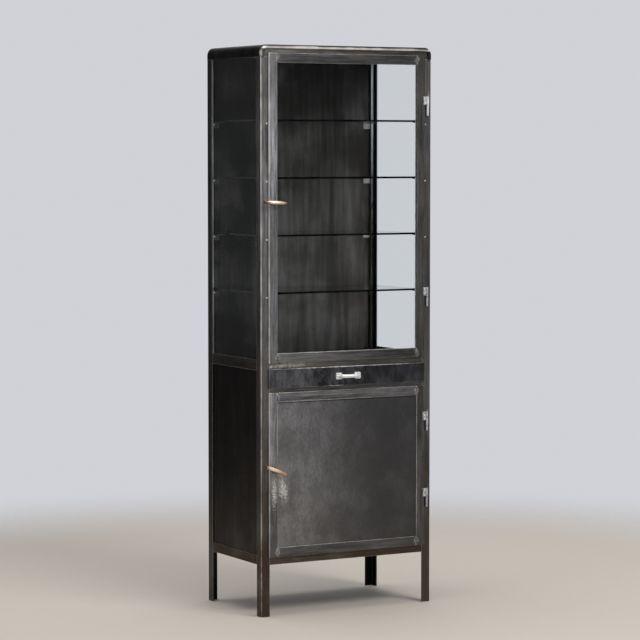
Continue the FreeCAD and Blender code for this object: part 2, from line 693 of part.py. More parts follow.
def turn_handle(name, level, tilt):
    """Builds a turn handle: bush on the stile, spindle, swelling bar and latch arm."""
    bush = new_body(f"{name}_handle_bush")
    revolve(bush, outline(sketch_on(bush, "XY_Plane"), [
        ("spindle_diameter / 2 + fit_clearance", "0"), ("bush_diameter / 2", "0"),
        ("bush_diameter / 2", "-bush_height"), ("spindle_diameter / 2 + fit_clearance", "-bush_height")]))
    round_edges(bush, "bush_round", {"y": "-bush_height"})
    place(bush, "-handle_x", "-door_depth", level)

    turned = FreeCAD.Placement(FreeCAD.Vector(), FreeCAD.Rotation(FreeCAD.Vector(0, 1, 0), number(tilt)))
    bar = new_body(f"{name}_handle_bar")
    section = barrel(sketch_on(bar, "XY_Plane"), "bar_length / 2", "bar_end_diameter / 2",
                     "bar_diameter / 2", "bar_bow")
    revolve(bar, section, "H_Axis")
    round_edges(bar, "bar_end_round", {"x": "bar_length / 2"}, {"x": "-bar_length / 2"})
    socket = circle(sketch_on(bar, "XZ_Plane", "-(bar_diameter / 2 + overrun)"), "0", "0",
                    "spindle_diameter + 2 * fit_clearance")
    pocket(bar, socket, "bar_diameter / 2 + overrun", backwards=True)
    bar.Placement = turned
    place(bar, "-handle_x", "bar_y", level)

    spindle = new_body(f"{name}_latch_spindle")
    revolve(spindle, outline(sketch_on(spindle, "XY_Plane"), [
        ("0", "bar_y"), ("spindle_diameter / 2", "bar_y"), ("spindle_diameter / 2", "latch_front"),
        ("spindle_tail_diameter / 2", "latch_front"), ("spindle_tail_diameter / 2", "latch_back"),
        ("rivet_diameter / 2", "latch_back"), ("spindle_diameter / 2", "latch_back + rivet_height"),
        ("0", "latch_back + rivet_height")]))
    place(spindle, "-handle_x", "0", level)

    arm = new_body(f"{name}_latch_arm")
    blade = rectangle(sketch_on(arm, "XZ_Plane"), *both("latch_width / 2"), "-latch_heel", "latch_reach")
    pad(arm, blade, "latch_wall", backwards=True)
    round_edges(arm, "latch_round", *[{"x": x, "z": z} for x in both("latch_width / 2")
                                      for z in ("-latch_heel", "latch_reach")])
    eye = circle(sketch_on(arm, "XZ_Plane", "overrun"), "0", "0", "spindle_tail_diameter + 2 * fit_clearance")
    pocket(arm, eye, "latch_wall + 2 * overrun")
    arm.Placement = turned
    place(arm, "-handle_x", "latch_front", level)


door_frame("upper", "upper_door_bottom", "upper_door_top", "upper_handle_level")
seat = "door_wall - door_depth"
pane_low, pane_high = "upper_door_bottom + door_member - pane_lap", "upper_door_top - door_member + pane_lap"
slab("upper_door_glass", both("pane_edge"), (seat, f"{seat} + door_glass_wall"), (pane_low, pane_high))
bead_depth = (f"{seat} + door_glass_wall", f"{seat} + door_glass_wall + door_bead")
bead_low, bead_high = f"{pane_low} + pane_lap", f"{pane_high} - pane_lap"
bundle("upper_door_beads", [
    slab("door_bead_left", on_side(LEFT, "pane_edge - pane_lap", "pane_edge"), bead_depth,
         (pane_low, pane_high), keep=False),
    slab("door_bead_right", on_side(RIGHT, "pane_edge - pane_lap", "pane_edge"), bead_depth,
         (pane_low, pane_high), keep=False),
    slab("door_bead_foot", both("pane_edge - pane_lap"), bead_depth, (pane_low, bead_low), keep=False),
    slab("door_bead_head", both("pane_edge - pane_lap"), bead_depth, (bead_high, pane_high), keep=False)])
group("upper_hinge_knuckles", [moved(knuckle.Shape, "hinge_x", "hinge_y", height) for height in upper_hinges])
turn_handle("upper", "upper_handle_level", "upper_handle_tilt_degrees")

door_frame("lower", "lower_door_bottom", "lower_door_top", "lower_handle_level")
slab("lower_door_panel", both("pane_edge"), (seat, f"{seat} + door_panel_wall"),
     ("lower_door_bottom + door_member - pane_lap", "lower_door_top - door_member + pane_lap"))
group("lower_hinge_knuckles", [moved(knuckle.Shape, "hinge_x", "hinge_y", height) for height in lower_hinges])
turn_handle("lower", "lower_handle_level", "lower_handle_tilt_degrees")

# Drawer on its two runners
for side, name in ((LEFT, "left"), (RIGHT, "right")):
    runner = new_body(f"{name}_drawer_runner")
    outer, inner = f"{side} * runner_edge", f"{side} * (runner_edge - runner_wall)"
    lip = f"{side} * (runner_edge - runner_width)"
    track = outline(sketch_on(runner, "XZ_Plane"), [
        (outer, "runner_bottom"), (lip, "runner_bottom"), (lip, "runner_bottom + runner_wall"),
        (inner, "runner_bottom + runner_wall"), (inner, "runner_bottom + runner_height"),
        (outer, "runner_bottom + runner_height")])
    pad(runner, track, "back_face - angle_wall", backwards=True)
    place(runner, y="angle_wall")

pull_hole = "pull_screw_diameter + 2 * hole_clearance"
front = new_body("drawer_front")
pad(front, rectangle(sketch_on(front, "XZ_Plane"), *both("door_edge"), "drawer_front_bottom",
                     "drawer_front_top"), "door_depth - door_gap", backwards=True)
round_edges(front, "door_edge_round", {"x": "door_edge", "y": "0"}, {"x": "-door_edge", "y": "0"},
            {"z": "drawer_front_bottom", "y": "0"}, {"z": "drawer_front_top", "y": "0"})
hollow = rectangle(sketch_on(front, "XZ_Plane", "-(door_depth - door_gap + overrun)"),
                   *both("door_edge - drawer_front_wall"), "drawer_front_bottom + drawer_front_wall",
                   "drawer_front_top - drawer_front_wall")
pocket(front, hollow, "door_depth - door_gap + overrun - drawer_front_wall", backwards=True)
front_holes = sketch_on(front, "XZ_Plane", "overrun")
for side in (LEFT, RIGHT):
    circle(front_holes, f"{side} * pull_screw_x", "drawer_middle", pull_hole)
pocket(front, front_holes, "drawer_front_wall + 2 * overrun")
place(front, y="-door_depth")

tray = new_body("drawer_tray")
pad(tray, rectangle(sketch_on(tray, "XY_Plane", "tray_bottom"), *both("tray_edge"), "tray_front",
                    "tray_front + tray_depth"), "tray_top - tray_bottom")
pocket(tray, rectangle(sketch_on(tray, "XY_Plane", "tray_top + overrun"), *both("tray_edge - tray_wall"),
                       "tray_front + tray_wall", "tray_front + tray_depth - tray_wall"),
       "tray_top - tray_bottom - tray_wall + overrun")
tray_holes = sketch_on(tray, "XZ_Plane", "overrun - tray_front")
for side in (LEFT, RIGHT):
    circle(tray_holes, f"{side} * pull_screw_x", "drawer_middle", pull_hole)
pocket(tray, tray_holes, "tray_wall + 2 * overrun")

pull = new_body("drawer_pull")
for side in (LEFT, RIGHT):
    pad_edges = on_side(side, "pull_length / 2 - pull_pad_width", "pull_length / 2")
    pad(pull, rectangle(sketch_on(pull, "XZ_Plane"), *pad_edges, *both("pull_pad_height / 2")),
        "pull_pad_wall")
round_edges(pull, "pull_pad_corner", *[{"x": x, "z": z} for z in both("pull_pad_height / 2")
                                       for half in ("pull_length / 2", "pull_length / 2 - pull_pad_width")
                                       for x in both(half)])
round_edges(pull, "pull_pad_round", {"y": "-pull_pad_wall"})
bow_path = arch(sketch_on(pull, "XY_Plane"), "pull_length / 2 - pull_foot_inset", "-pull_pad_wall / 2",
                "-pull_bar_rise", "pull_bend")
bow_section = circle(sketch_on(pull, "XZ_Plane", "pull_pad_wall / 2"),
                     "pull_foot_inset - pull_length / 2", "0", "pull_bar_diameter")
sweep(pull, bow_section, bow_path)
pull_holes = sketch_on(pull, "XZ_Plane", "pull_pad_wall + overrun")
for side in (LEFT, RIGHT):
    circle(pull_holes, f"{side} * pull_screw_x", "0", pull_hole)
pocket(pull, pull_holes, "pull_pad_wall + 2 * overrun")
place(pull, y="-door_depth", z="drawer_middle")

pull_screw = screw("drawer_pull_screw_pattern", "pull_screw_head", "pull_screw_head_height",
                   "pull_screw_diameter", "pull_pad_wall + drawer_front_wall + tray_wall + pull_screw_tail")
doc.recompute()
group("drawer_pull_screws", [moved(pull_screw.Shape, f"{side} * pull_screw_x", "-door_depth - pull_pad_wall",
                                   "drawer_middle") for side in (LEFT, RIGHT)])

# Check and export
doc.removeObject(scratch.Name)
doc.recompute()
for piece in doc.Objects:
    if "Invalid" in piece.State or "Error" in piece.State:
        raise RuntimeError(f"{piece.Label} did not recompute: {piece.State}")
os.makedirs("parts", exist_ok=True)
for piece in nodes:
    if piece.Shape.isNull() or not piece.Shape.isValid() or not piece.Shape.Solids:
        raise RuntimeError(f"{piece.Label} has no sound solid")
    piece.Shape.exportStep(f"parts/{piece.Label}.step")
print(len(nodes), "nodes written")
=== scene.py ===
"""Looks of a tall steel medicine cabinet: blackened angle iron, glass, copper handles and a nickel pull.

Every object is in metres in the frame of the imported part: X across the width, -Y out of the front, Z up.
"""
from __future__ import annotations

import json
import logging
from dataclasses import dataclass, field, replace
from enum import Enum
from math import cos, pi, radians, sin

import bpy
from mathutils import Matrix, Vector

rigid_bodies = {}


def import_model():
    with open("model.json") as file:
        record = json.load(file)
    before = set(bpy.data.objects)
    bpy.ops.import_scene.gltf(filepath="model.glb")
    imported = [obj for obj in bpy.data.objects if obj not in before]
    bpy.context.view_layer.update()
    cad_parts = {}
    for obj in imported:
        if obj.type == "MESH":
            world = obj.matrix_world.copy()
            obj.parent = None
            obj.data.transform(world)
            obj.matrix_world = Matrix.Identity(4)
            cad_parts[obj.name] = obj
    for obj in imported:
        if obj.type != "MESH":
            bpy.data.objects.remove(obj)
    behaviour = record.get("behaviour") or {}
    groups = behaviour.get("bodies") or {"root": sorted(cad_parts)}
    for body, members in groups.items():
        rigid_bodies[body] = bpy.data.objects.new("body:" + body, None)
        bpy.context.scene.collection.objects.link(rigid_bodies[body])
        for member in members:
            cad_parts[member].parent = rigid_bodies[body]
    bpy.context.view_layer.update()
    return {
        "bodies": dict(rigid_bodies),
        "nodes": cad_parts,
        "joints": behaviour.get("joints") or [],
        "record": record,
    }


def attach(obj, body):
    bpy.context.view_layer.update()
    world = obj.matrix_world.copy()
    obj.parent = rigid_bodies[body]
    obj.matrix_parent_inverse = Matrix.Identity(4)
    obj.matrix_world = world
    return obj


LOG = logging.getLogger("medicine_cabinet")
Colour = tuple[float, float, float]
Point = tuple[float, float, float]
Pair = tuple[float, float]
Socket = bpy.types.NodeSocket
Value = Socket | float | tuple[float, ...]


class Grain(Enum):
    """Direction in which a surface was brushed or wiped, as the stretch of its streaks along X, Y and Z."""

    UPRIGHT = (1.0, 1.0, 0.07)
    ACROSS = (0.07, 1.0, 1.0)
    INWARDS = (1.0, 0.07, 1.0)
    CLOUDED = (1.0, 1.0, 0.45)
    POLISHED = (0.2, 1.0, 1.0)
    WIPED = (1.0, 1.0, 0.4)


class Axis(Enum):
    """Axis along which a tone changes."""

    X = "X"
    Y = "Y"
    Z = "Z"


class Side(Enum):
    """Side of the cabinet, as the sign of X."""

    LEFT = -1
    RIGHT = 1


class End(Enum):
    """End of a door's frame."""

    BOTTOM = "bottom"
    TOP = "top"


@dataclass(frozen=True)
class Pattern:
    """Settings of a noise.

    Args:
        scale: Features per metre.
        detail: Octaves.
        roughness: Weight of the fine octaves.
    """

    scale: float
    detail: float
    roughness: float


# Noises of the finishes; the octaves belong to those whose scale differs from piece to piece
CLOUDS = Pattern(7.0, 6.0, 0.62)
SPECKS = Pattern(420.0, 2.0, 0.5)
CHIPS = Pattern(46.0, 5.0, 0.7)
TARNISH = Pattern(70.0, 5.0, 0.6)
SCRATCHES = Pattern(900.0, 2.0, 0.5)
SMEARS = Pattern(9.0, 4.0, 0.6)
FLOOR_GRAIN = Pattern(30.0, 4.0, 0.6)
STREAK_OCTAVES = (3.0, 0.6)
RAGGED_OCTAVES = (5.0, 0.65)
BROAD_SCALE = 0.16

# Bands of a value that are spread over another range
WHOLE = (0.0, 1.0)
EVEN = (0.3, 0.7)
STREAK_BAND = (0.36, 0.66)
BROAD_BAND = (0.38, 0.62)
PATINA_BAND = (0.42, 0.66)
FADE_BAND = (0.35, 0.55)
CHIP_BAND = (0.34, 0.58)
SHEEN_BAND = (0.35, 0.75)
GROOVE_BAND = (0.2, 0.8)
TARNISH_BAND = (0.40, 0.68)
SMEAR_BAND = (0.45, 0.75)
EDGE_BAND = (0.995, 0.88)
MARK_BAND = (1.25, 0.1)
RAGGED_BAND = (0.62, 0.36)

# Other settings that the finishes share
BEVEL_SAMPLES = 8
HALF_TONE = 0.25
SHEEN = (-0.04, 0.06)
GROOVE_SHARE = 0.6

# Depth at which the tone of one face ends, and reach of a mark that runs past both ends of its piece
SKIN = 0.0004
ENDLESS = 4.0


class Tree:
    """A node tree, with the moves that the materials and the surroundings share."""

    def __init__(self, tree: bpy.types.NodeTree) -> None:
        """Takes up a node tree."""
        self.tree = tree

    def feed(self, socket: Socket, value: Value) -> None:
        """Links a socket to another one, or sets it.

        Args:
            socket: Input to fill.
            value: Output to link, or a plain value.
        """
        if isinstance(value, bpy.types.NodeSocket):
            self.tree.links.new(value, socket)
        elif socket.type == "RGBA":
            socket.default_value = (*value, 1.0)
        else:
            socket.default_value = value

    def add(self, kind: str, inputs: dict[str | int, Value] | None = None) -> bpy.types.Node:
        """Adds a node.

        Args:
            kind: Kind of node, without the prefix that all kinds share.
            inputs: What goes into it, by the name or the number of the input.

        Returns:
            The node.
        """
        node = self.tree.nodes.new(f"ShaderNode{kind}")
        for key, value in (inputs or {}).items():
            self.feed(node.inputs[key], value)
        return node

    def vectors(self, operation: str, *operands: Value) -> bpy.types.Node:
        """Adds a node that works on vectors.

        Args:
            operation: Name of the operation.
            operands: One vector or two.

        Returns:
            The node.
        """
        node = self.add("VectorMath", dict(enumerate(operands)))
        node.operation = operation
        return node


class Graph(Tree):
    """Node tree of one material, with the steps that the finishes share."""

    def __init__(self, name: str) -> None:
        """Starts a material.

        Args:
            name: Name of the material.
        """
        self.material = bpy.data.materials.new(name)
        self.material.use_nodes = True
        super().__init__(self.material.node_tree)
        self.shader = self.tree.nodes["Principled BSDF"]
        self.place: Socket = self.add("TexCoord").outputs["Object"]
        self.rounded: Socket | None = None

    def stretched(self, grain: Grain) -> Socket:
        """Returns object coordinates, stretched along each axis as the grain says."""
        return self.add("Mapping", {"Vector": self.place, "Scale": grain.value}).outputs["Vector"]

    def along(self, axis: Axis) -> Socket:
        """Returns the object coordinate along one axis, in metres."""
        return self.add("SeparateXYZ", {"Vector": self.place}).outputs[axis.value]

    def noise(self, where: Socket, pattern: Pattern) -> Socket:
        """Returns a noise around one half, read at the given coordinates."""
        settings = {"Scale": pattern.scale, "Detail": pattern.detail, "Roughness": pattern.roughness}
        return self.add("TexNoise", {"Vector": where, **settings}).outputs["Fac"]

    def spread(self, value: Socket, band: Pair, result: Pair = WHOLE) -> Socket:
        """Returns a value remapped and clamped.

        Args:
            value: Value to remap.
            band: Inputs that give the two results.
            result: The two results.

        Returns:
            The remapped value.
        """
        ends = {"From Min": band[0], "From Max": band[1], "To Min": result[0], "To Max": result[1]}
        node = self.add("MapRange", {"Value": value, **ends})
        node.interpolation_type = "SMOOTHSTEP"
        return node.outputs["Result"]

    def maths(self, operation: str, first: Value, second: Value) -> Socket:
        """Returns a sum, product or other operation of two values.

        Args:
            operation: Name of the operation.
            first: First value.
            second: Second value.

        Returns:
            The result, clamped to 0 and 1.
        """
        node = self.add("Math", {0: first, 1: second})
        node.operation = operation
        node.use_clamp = True
        return node.outputs["Value"]

    def mixed(self, share: Value, first: Value, second: Value) -> Socket:
        """Returns a mix of two colours.

        Args:
            share: Share of the second colour.
            first: First colour.
            second: Second colour.

        Returns:
            The mixed colour.
        """
        node = self.add("Mix", {"Factor": share})
        node.data_type = "RGBA"
        for name, colour in (("A", first), ("B", second)):
            self.feed(next(s for s in node.inputs if s.name == name and s.type == "RGBA"), colour)
        return next(s for s in node.outputs if s.type == "RGBA")

    def worn_edge(self, radius: float) -> Socket:
        """Rounds the edges in the shading and returns a mask of them.

        Args:
            radius: Reach of the wear from the edge, in metres.

        Returns:
            The mask, 1 on the edge.
        """
        bevel = self.add("Bevel", {"Radius": radius})
        bevel.samples = BEVEL_SAMPLES
        self.rounded = bevel.outputs["Normal"]
        flat = self.add("NewGeometry").outputs["Normal"]
        return self.spread(self.vectors("DOT_PRODUCT", self.rounded, flat).outputs["Value"], EDGE_BAND)

    def patch(self, mark_or_painted_light: ScarOrPaintedLight) -> Socket:
        """Returns the mask of one local mark.

        Args:
            mark_or_painted_light: The mark.

        Returns:
            The mask, 1 in the middle of the mark.
        """
        offset = self.vectors("SUBTRACT", self.place, mark_or_painted_light.centre).outputs["Vector"]
        turned = self.add("VectorRotate", {"Vector": offset, "Angle": radians(-mark_or_painted_light.turn)})
        turned.rotation_type = "Y_AXIS"
        share = self.vectors("DIVIDE", turned.outputs["Vector"], mark_or_painted_light.reach).outputs["Vector"]
        distance = self.vectors("LENGTH", share).outputs["Value"]
        ragged = self.noise(self.place, Pattern(mark_or_painted_light.raggedness, *RAGGED_OCTAVES))
        broken = self.maths("SUBTRACT", self.spread(distance, MARK_BAND),
                            self.spread(ragged, RAGGED_BAND, (0.0, mark_or_painted_light.breaks)))
        return self.maths("MULTIPLY", broken, mark_or_painted_light.strength)

    def relief(self, height: Socket, depth: float, strength: float) -> None:
        """Bumps the surface.

        Args:
            height: Height map.
            depth: Depth of the relief in metres.
            strength: Share of the relief that shows.
        """
        node = self.add("Bump", {"Height": height, "Distance": depth, "Strength": strength})
        if self.rounded:
            self.feed(node.inputs["Normal"], self.rounded)
        self.feed(self.shader.inputs["Normal"], node.outputs["Normal"])

    def finish(self, colour: Value, roughness: Value, metallic: Value) -> bpy.types.Material:
        """Fills the main sockets of the shader.

        Args:
            colour: Base colour.
            roughness: Roughness.
            metallic: Metallic value.

        Returns:
            The finished material.
        """
        for name, value in (("Base Color", colour), ("Roughness", roughness), ("Metallic", metallic)):
            self.feed(self.shader.inputs[name], value)
        return self.material


@dataclass(frozen=True)
class ScarOrPaintedLight:
    """A local mark on a metal face: a weld blotch, a scrape, a bright rub, a painted highlight, a painted
    reflection or painted shade.

    Args:
        centre: Middle of the mark.
        reach: Half sizes along X, Y and Z.
        strength: How much of the mark shows.
        raggedness: Features per metre along its border.
        breaks: How much of the mark its ragged border takes away.
        turn: Turn of the mark about Y, in degrees.
    """

    centre: Point
    reach: Point
    strength: float = 0.8
    raggedness: float = 90.0
    breaks: float = 0.85
    turn: float = 0.0


@dataclass(frozen=True)
class Fade:
    """A slow change of tone along one axis: dirt towards the floor, and painted shade where a piece darkens
    to one side, towards the top or on a face in shade.

    Args:
        axis: Axis along which the tone changes.
        start: Place where the change starts.
        full: Place where it is complete.
        share: How much of the new tone shows there.
        tone: The new tone.
        front_of: Place along Y that the change stays in front of, where only one face of a sheet has it.
        clouds: How much less of it shows in the pale patches of the patina.
    """

    axis: Axis
    start: float
    full: float
    share: float
    tone: Colour
    front_of: float | None = None
    clouds: float = 0.25


@dataclass(frozen=True)
class SteelFinish:
    """Stripped and blackened steel, brushed one way, with brown patina and worn edges, and on some pieces
    painted shade and painted highlights.

    Args:
        name: Name of the material.
        grain: Brushing direction.
        dark: Darkest tone.
        light: Lightest brushed tone.
        patina: Tint of the clouds in the patina.
        patina_share: How much of the patina shows.
        worn: Colour of bare metal on edges and scars, and of the painted highlights and reflections.
        edge: Reach of the edge wear in metres.
        edge_share: How much of the edge is bare.
        gloss: Lowest and highest roughness.
        streak: Streaks per metre across the grain.
        contrast: How far the streaks differ, as a share of the way from dark to light.
        speckle: How far the finest specks differ, on the same scale.
        metal: Metallic value of the whole skin.
        bare_metal: Metallic value of bare metal and of the painted highlights, lower where they are matt and
            pale.
        brushing: Depth of the brushing in metres, and how much of it shows.
        fades: Slow changes of tone, some of them painted shade.
        scars_and_highlights: Local marks, painted highlights and painted reflections.
    """

    name: str
    grain: Grain
    dark: Colour
    light: Colour
    patina: Colour = (0.075, 0.052, 0.038)
    patina_share: float = 0.5
    worn: Colour = (0.50, 0.46, 0.41)
    edge: float = 0.0014
    edge_share: float = 0.75
    gloss: Pair = (0.30, 0.52)
    streak: float = 190.0
    contrast: float = 1.0
    speckle: float = 0.06
    metal: float = 0.92
    bare_metal: float = 0.40
    brushing: Pair = (0.00022, 0.55)
    fades: tuple[Fade, ...] = ()
    scars_and_highlights: tuple[ScarOrPaintedLight, ...] = ()

    def material(self) -> bpy.types.Material:
        """Returns the node material of this finish."""
        graph = Graph(self.name)
        along = graph.stretched(self.grain)
        streaks = graph.noise(along, Pattern(self.streak, *STREAK_OCTAVES))
        broad = graph.noise(along, Pattern(self.streak * BROAD_SCALE, *STREAK_OCTAVES))
        clouds = graph.noise(graph.place, CLOUDS)
        specks = graph.noise(graph.place, SPECKS)
        tones = (HALF_TONE - HALF_TONE * self.contrast, HALF_TONE + HALF_TONE * self.contrast)
        tone = graph.maths("ADD", graph.spread(streaks, STREAK_BAND, tones),
                           graph.spread(broad, BROAD_BAND, tones))
        tone = graph.maths("ADD", tone, graph.spread(specks, EVEN, (-self.speckle, self.speckle)))
        colour = graph.mixed(tone, self.dark, self.light)
        brown = graph.maths("MULTIPLY", graph.spread(clouds, PATINA_BAND), self.patina_share)
        colour = graph.mixed(brown, colour, self.patina)
        for fade in self.fades:
            share = graph.spread(graph.along(fade.axis), (fade.start, fade.full), (0.0, fade.share))
            if fade.front_of is not None:
                front = graph.spread(graph.along(Axis.Y), (fade.front_of, fade.front_of - SKIN))
                share = graph.maths("MULTIPLY", share, front)
            cloudy = graph.maths("MULTIPLY", share, graph.spread(clouds, FADE_BAND, (1.0 - fade.clouds, 1.0)))
            colour = graph.mixed(cloudy, colour, fade.tone)
        edge = graph.worn_edge(self.edge)
        chips = graph.spread(graph.noise(graph.place, CHIPS), CHIP_BAND, (1.0 - self.edge_share, 1.0))
        # The mask of bare metal also carries the painted highlights and painted reflections among the scars.
        bare = graph.maths("MULTIPLY", graph.maths("MULTIPLY", edge, chips), self.edge_share)
        for mark_or_painted_light in self.scars_and_highlights:
            bare = graph.maths("MAXIMUM", bare, graph.patch(mark_or_painted_light))
        colour = graph.mixed(bare, colour, self.worn)
        dull = graph.maths("ADD", graph.spread(clouds, EVEN, self.gloss),
                           graph.spread(specks, SHEEN_BAND, SHEEN))
        grooves = graph.maths("ADD", graph.spread(streaks, GROOVE_BAND, (0.0, GROOVE_SHARE)),
                              graph.spread(specks, EVEN, (0.0, 1.0 - GROOVE_SHARE)))
        graph.relief(grooves, *self.brushing)
        return graph.finish(colour, dull, graph.spread(bare, WHOLE, (self.metal, self.bare_metal)))


@dataclass(frozen=True)
class PolishedFinish:
    """Handled metal, polished where hands rub it and dull where they don't, with painted highlights and
    painted shade as local marks.

    Args:
        name: Name of the material.
        bright: Colour of the metal.
        dull: Colour of the tarnish.
        tarnish: How much of the tarnish shows.
        gloss: Lowest and highest roughness.
        metal: Metallic value, lower on a pale satin plating.
        rubbed: Colour of the rubs, painted highlights that on the handles are also polish from hands.
        shaded_tarnish: Colour of the stains, painted shade that at the ends of the handles is also thick
            tarnish.
        edge: Reach of the edge wear in metres.
        edge_share: How much of the edge is bare.
        polishing: Depth of the fine scratches in metres, and how much of it shows.
        highlight_rubs: Painted highlights, on the handles also where hands have polished them.
        shade_stains: Painted shade, at the ends of the handles also where the tarnish has stayed.
    """

    name: str
    bright: Colour
    dull: Colour
    tarnish: float
    gloss: Pair
    metal: float = 1.0
    rubbed: Colour = (1.0, 0.93, 0.78)
    shaded_tarnish: Colour = (0.018, 0.007, 0.003)
    edge: float = 0.0008
    edge_share: float = 0.6
    polishing: Pair = (0.00008, 0.4)
    highlight_rubs: tuple[ScarOrPaintedLight, ...] = ()
    shade_stains: tuple[ScarOrPaintedLight, ...] = ()

    def material(self) -> bpy.types.Material:
        """Returns the node material of this finish."""
        graph = Graph(self.name)
        clouds = graph.noise(graph.place, TARNISH)
        scratches = graph.noise(graph.stretched(Grain.POLISHED), SCRATCHES)
        stain = graph.maths("MULTIPLY", graph.spread(clouds, TARNISH_BAND), self.tarnish)
        colour = graph.mixed(stain, self.bright, self.dull)
        edge = graph.maths("MULTIPLY", graph.worn_edge(self.edge), self.edge_share)
        colour = graph.mixed(edge, colour, self.bright)
        # Painted highlights, then painted shade that is partly tarnish.
        for rub in self.highlight_rubs:
            colour = graph.mixed(graph.patch(rub), colour, self.rubbed)
        for old in self.shade_stains:
            colour = graph.mixed(graph.patch(old), colour, self.shaded_tarnish)
        graph.relief(scratches, *self.polishing)
        return graph.finish(colour, graph.spread(clouds, EVEN, self.gloss), self.metal)


@dataclass(frozen=True)
class GlassFinish:
    """Clear sheet glass with a green cast through its edges.

    Args:
        name: Name of the material.
        density: Strength of the colour of its body per metre.
        tint: Colour of the light that passes the surface.
        body: Colour that a long path through the glass takes on.
        index: Index of refraction, low in a thin pane that hardly mirrors the room.
        haze: Roughness where it is smeared.
    """

    name: str
    density: float
    tint: Colour = (0.98, 0.992, 0.99)
    body: Colour = (0.12, 0.30, 0.22)
    index: float = 1.08
    haze: float = 0.03

    def material(self) -> bpy.types.Material:
        """Returns the node material of this finish."""
        graph = Graph(self.name)
        graph.shader.inputs["Transmission Weight"].default_value = 1.0
        graph.shader.inputs["IOR"].default_value = self.index
        smears = graph.noise(graph.stretched(Grain.WIPED), SMEARS)
        absorb = graph.add("VolumeAbsorption", {"Color": self.body, "Density": self.density})
        graph.feed(graph.tree.nodes["Material Output"].inputs["Volume"], absorb.outputs["Volume"])
        return graph.finish(self.tint, graph.spread(smears, SMEAR_BAND, (0.0, self.haze)), 0.0)


@dataclass(frozen=True)
class FloorFinish:
    """Plain pale floor that fades out into the background.

    Args:
        name: Name of the material.
        tone: Colour of the floor.
        worn: Colour of its darker grain.
        wear: How much of that grain shows.
        roughness: Roughness.
        near: Distance from the object at which the floor starts to fade, in metres.
        far: Distance at which it is gone, in metres.
    """

    name: str = "pale_floor"
    tone: Colour = (0.60, 0.545, 0.47)
    worn: Colour = (0.52, 0.47, 0.40)
    wear: float = 0.12
    roughness: float = 0.7
    near: float = 1.5
    far: float = 2.9

    def material(self) -> bpy.types.Material:
        """Returns the node material of this finish."""
        graph = Graph(self.name)
        distance = graph.vectors("LENGTH", graph.place).outputs["Value"]
        graph.feed(graph.shader.inputs["Alpha"], graph.spread(distance, (self.near, self.far), (1.0, 0.0)))
        grain = graph.noise(graph.place, FLOOR_GRAIN)
        colour = graph.mixed(graph.spread(grain, EVEN, (0.0, self.wear)), self.tone, self.worn)
        return graph.finish(colour, self.roughness, 0.0)


Finish = SteelFinish | PolishedFinish | GlassFinish

# Tones that several finishes share
CREAM = (0.80, 0.75, 0.68)
SILVER = (0.84, 0.82, 0.79)
RUST = (0.075, 0.055, 0.040)
EARTH = (0.056, 0.033, 0.018)
INSIDE_SHADE = (0.005, 0.005, 0.005)

# Finishes of the pieces
LEFT_POST = SteelFinish(
    "left_post_steel", Grain.UPRIGHT, (0.12, 0.116, 0.112), (0.48, 0.47, 0.455),
    patina=(0.15, 0.115, 0.09), patina_share=0.4, worn=CREAM, edge=0.0012,
    fades=(Fade(Axis.Z, 1.50, 1.70, 0.45, (0.10, 0.098, 0.096)),
           Fade(Axis.Z, 1.30, 0.45, 0.85, RUST),
           Fade(Axis.Z, 0.35, 0.12, 0.60, EARTH)))
RIGHT_POST = SteelFinish(
    "right_post_steel", Grain.UPRIGHT, (0.07, 0.066, 0.062), (0.22, 0.21, 0.20),
    patina=(0.12, 0.09, 0.07), worn=CREAM, edge=0.0012, edge_share=0.5,
    fades=(Fade(Axis.Z, 0.75, 0.10, 0.7, RUST),),
    scars_and_highlights=(ScarOrPaintedLight((0.303, -0.1708, 1.63), (0.004, 0.01, 0.045), 0.45, raggedness=150.0),
           ScarOrPaintedLight((0.301, -0.1708, 0.60), (0.006, 0.01, 0.05), 0.5, raggedness=150.0)))
REAR_POST = SteelFinish(
    "rear_post_steel", Grain.UPRIGHT, (0.045, 0.041, 0.037), (0.14, 0.13, 0.12),
    patina=(0.06, 0.044, 0.034), worn=CREAM, edge=0.0016, edge_share=0.4,
    fades=(Fade(Axis.Z, 0.75, 0.10, 0.5, RUST),))
# Painted shade: these rails darken from left to right.
FRONT_RAIL = SteelFinish(
    "front_rail_steel", Grain.ACROSS, (0.075, 0.071, 0.063), (0.30, 0.285, 0.255),
    patina=(0.13, 0.10, 0.075), worn=CREAM, edge=0.0018,
    fades=(Fade(Axis.X, -0.27, 0.25, 0.5, (0.040, 0.038, 0.034)),
           Fade(Axis.Z, 0.75, 0.10, 0.72, EARTH)))
SIDE_RAIL = SteelFinish(
    "side_rail_steel", Grain.INWARDS, (0.05, 0.042, 0.036), (0.16, 0.143, 0.125),
    patina=(0.07, 0.05, 0.038), worn=CREAM,
    fades=(Fade(Axis.Z, 0.50, 0.18, 0.90, EARTH),))
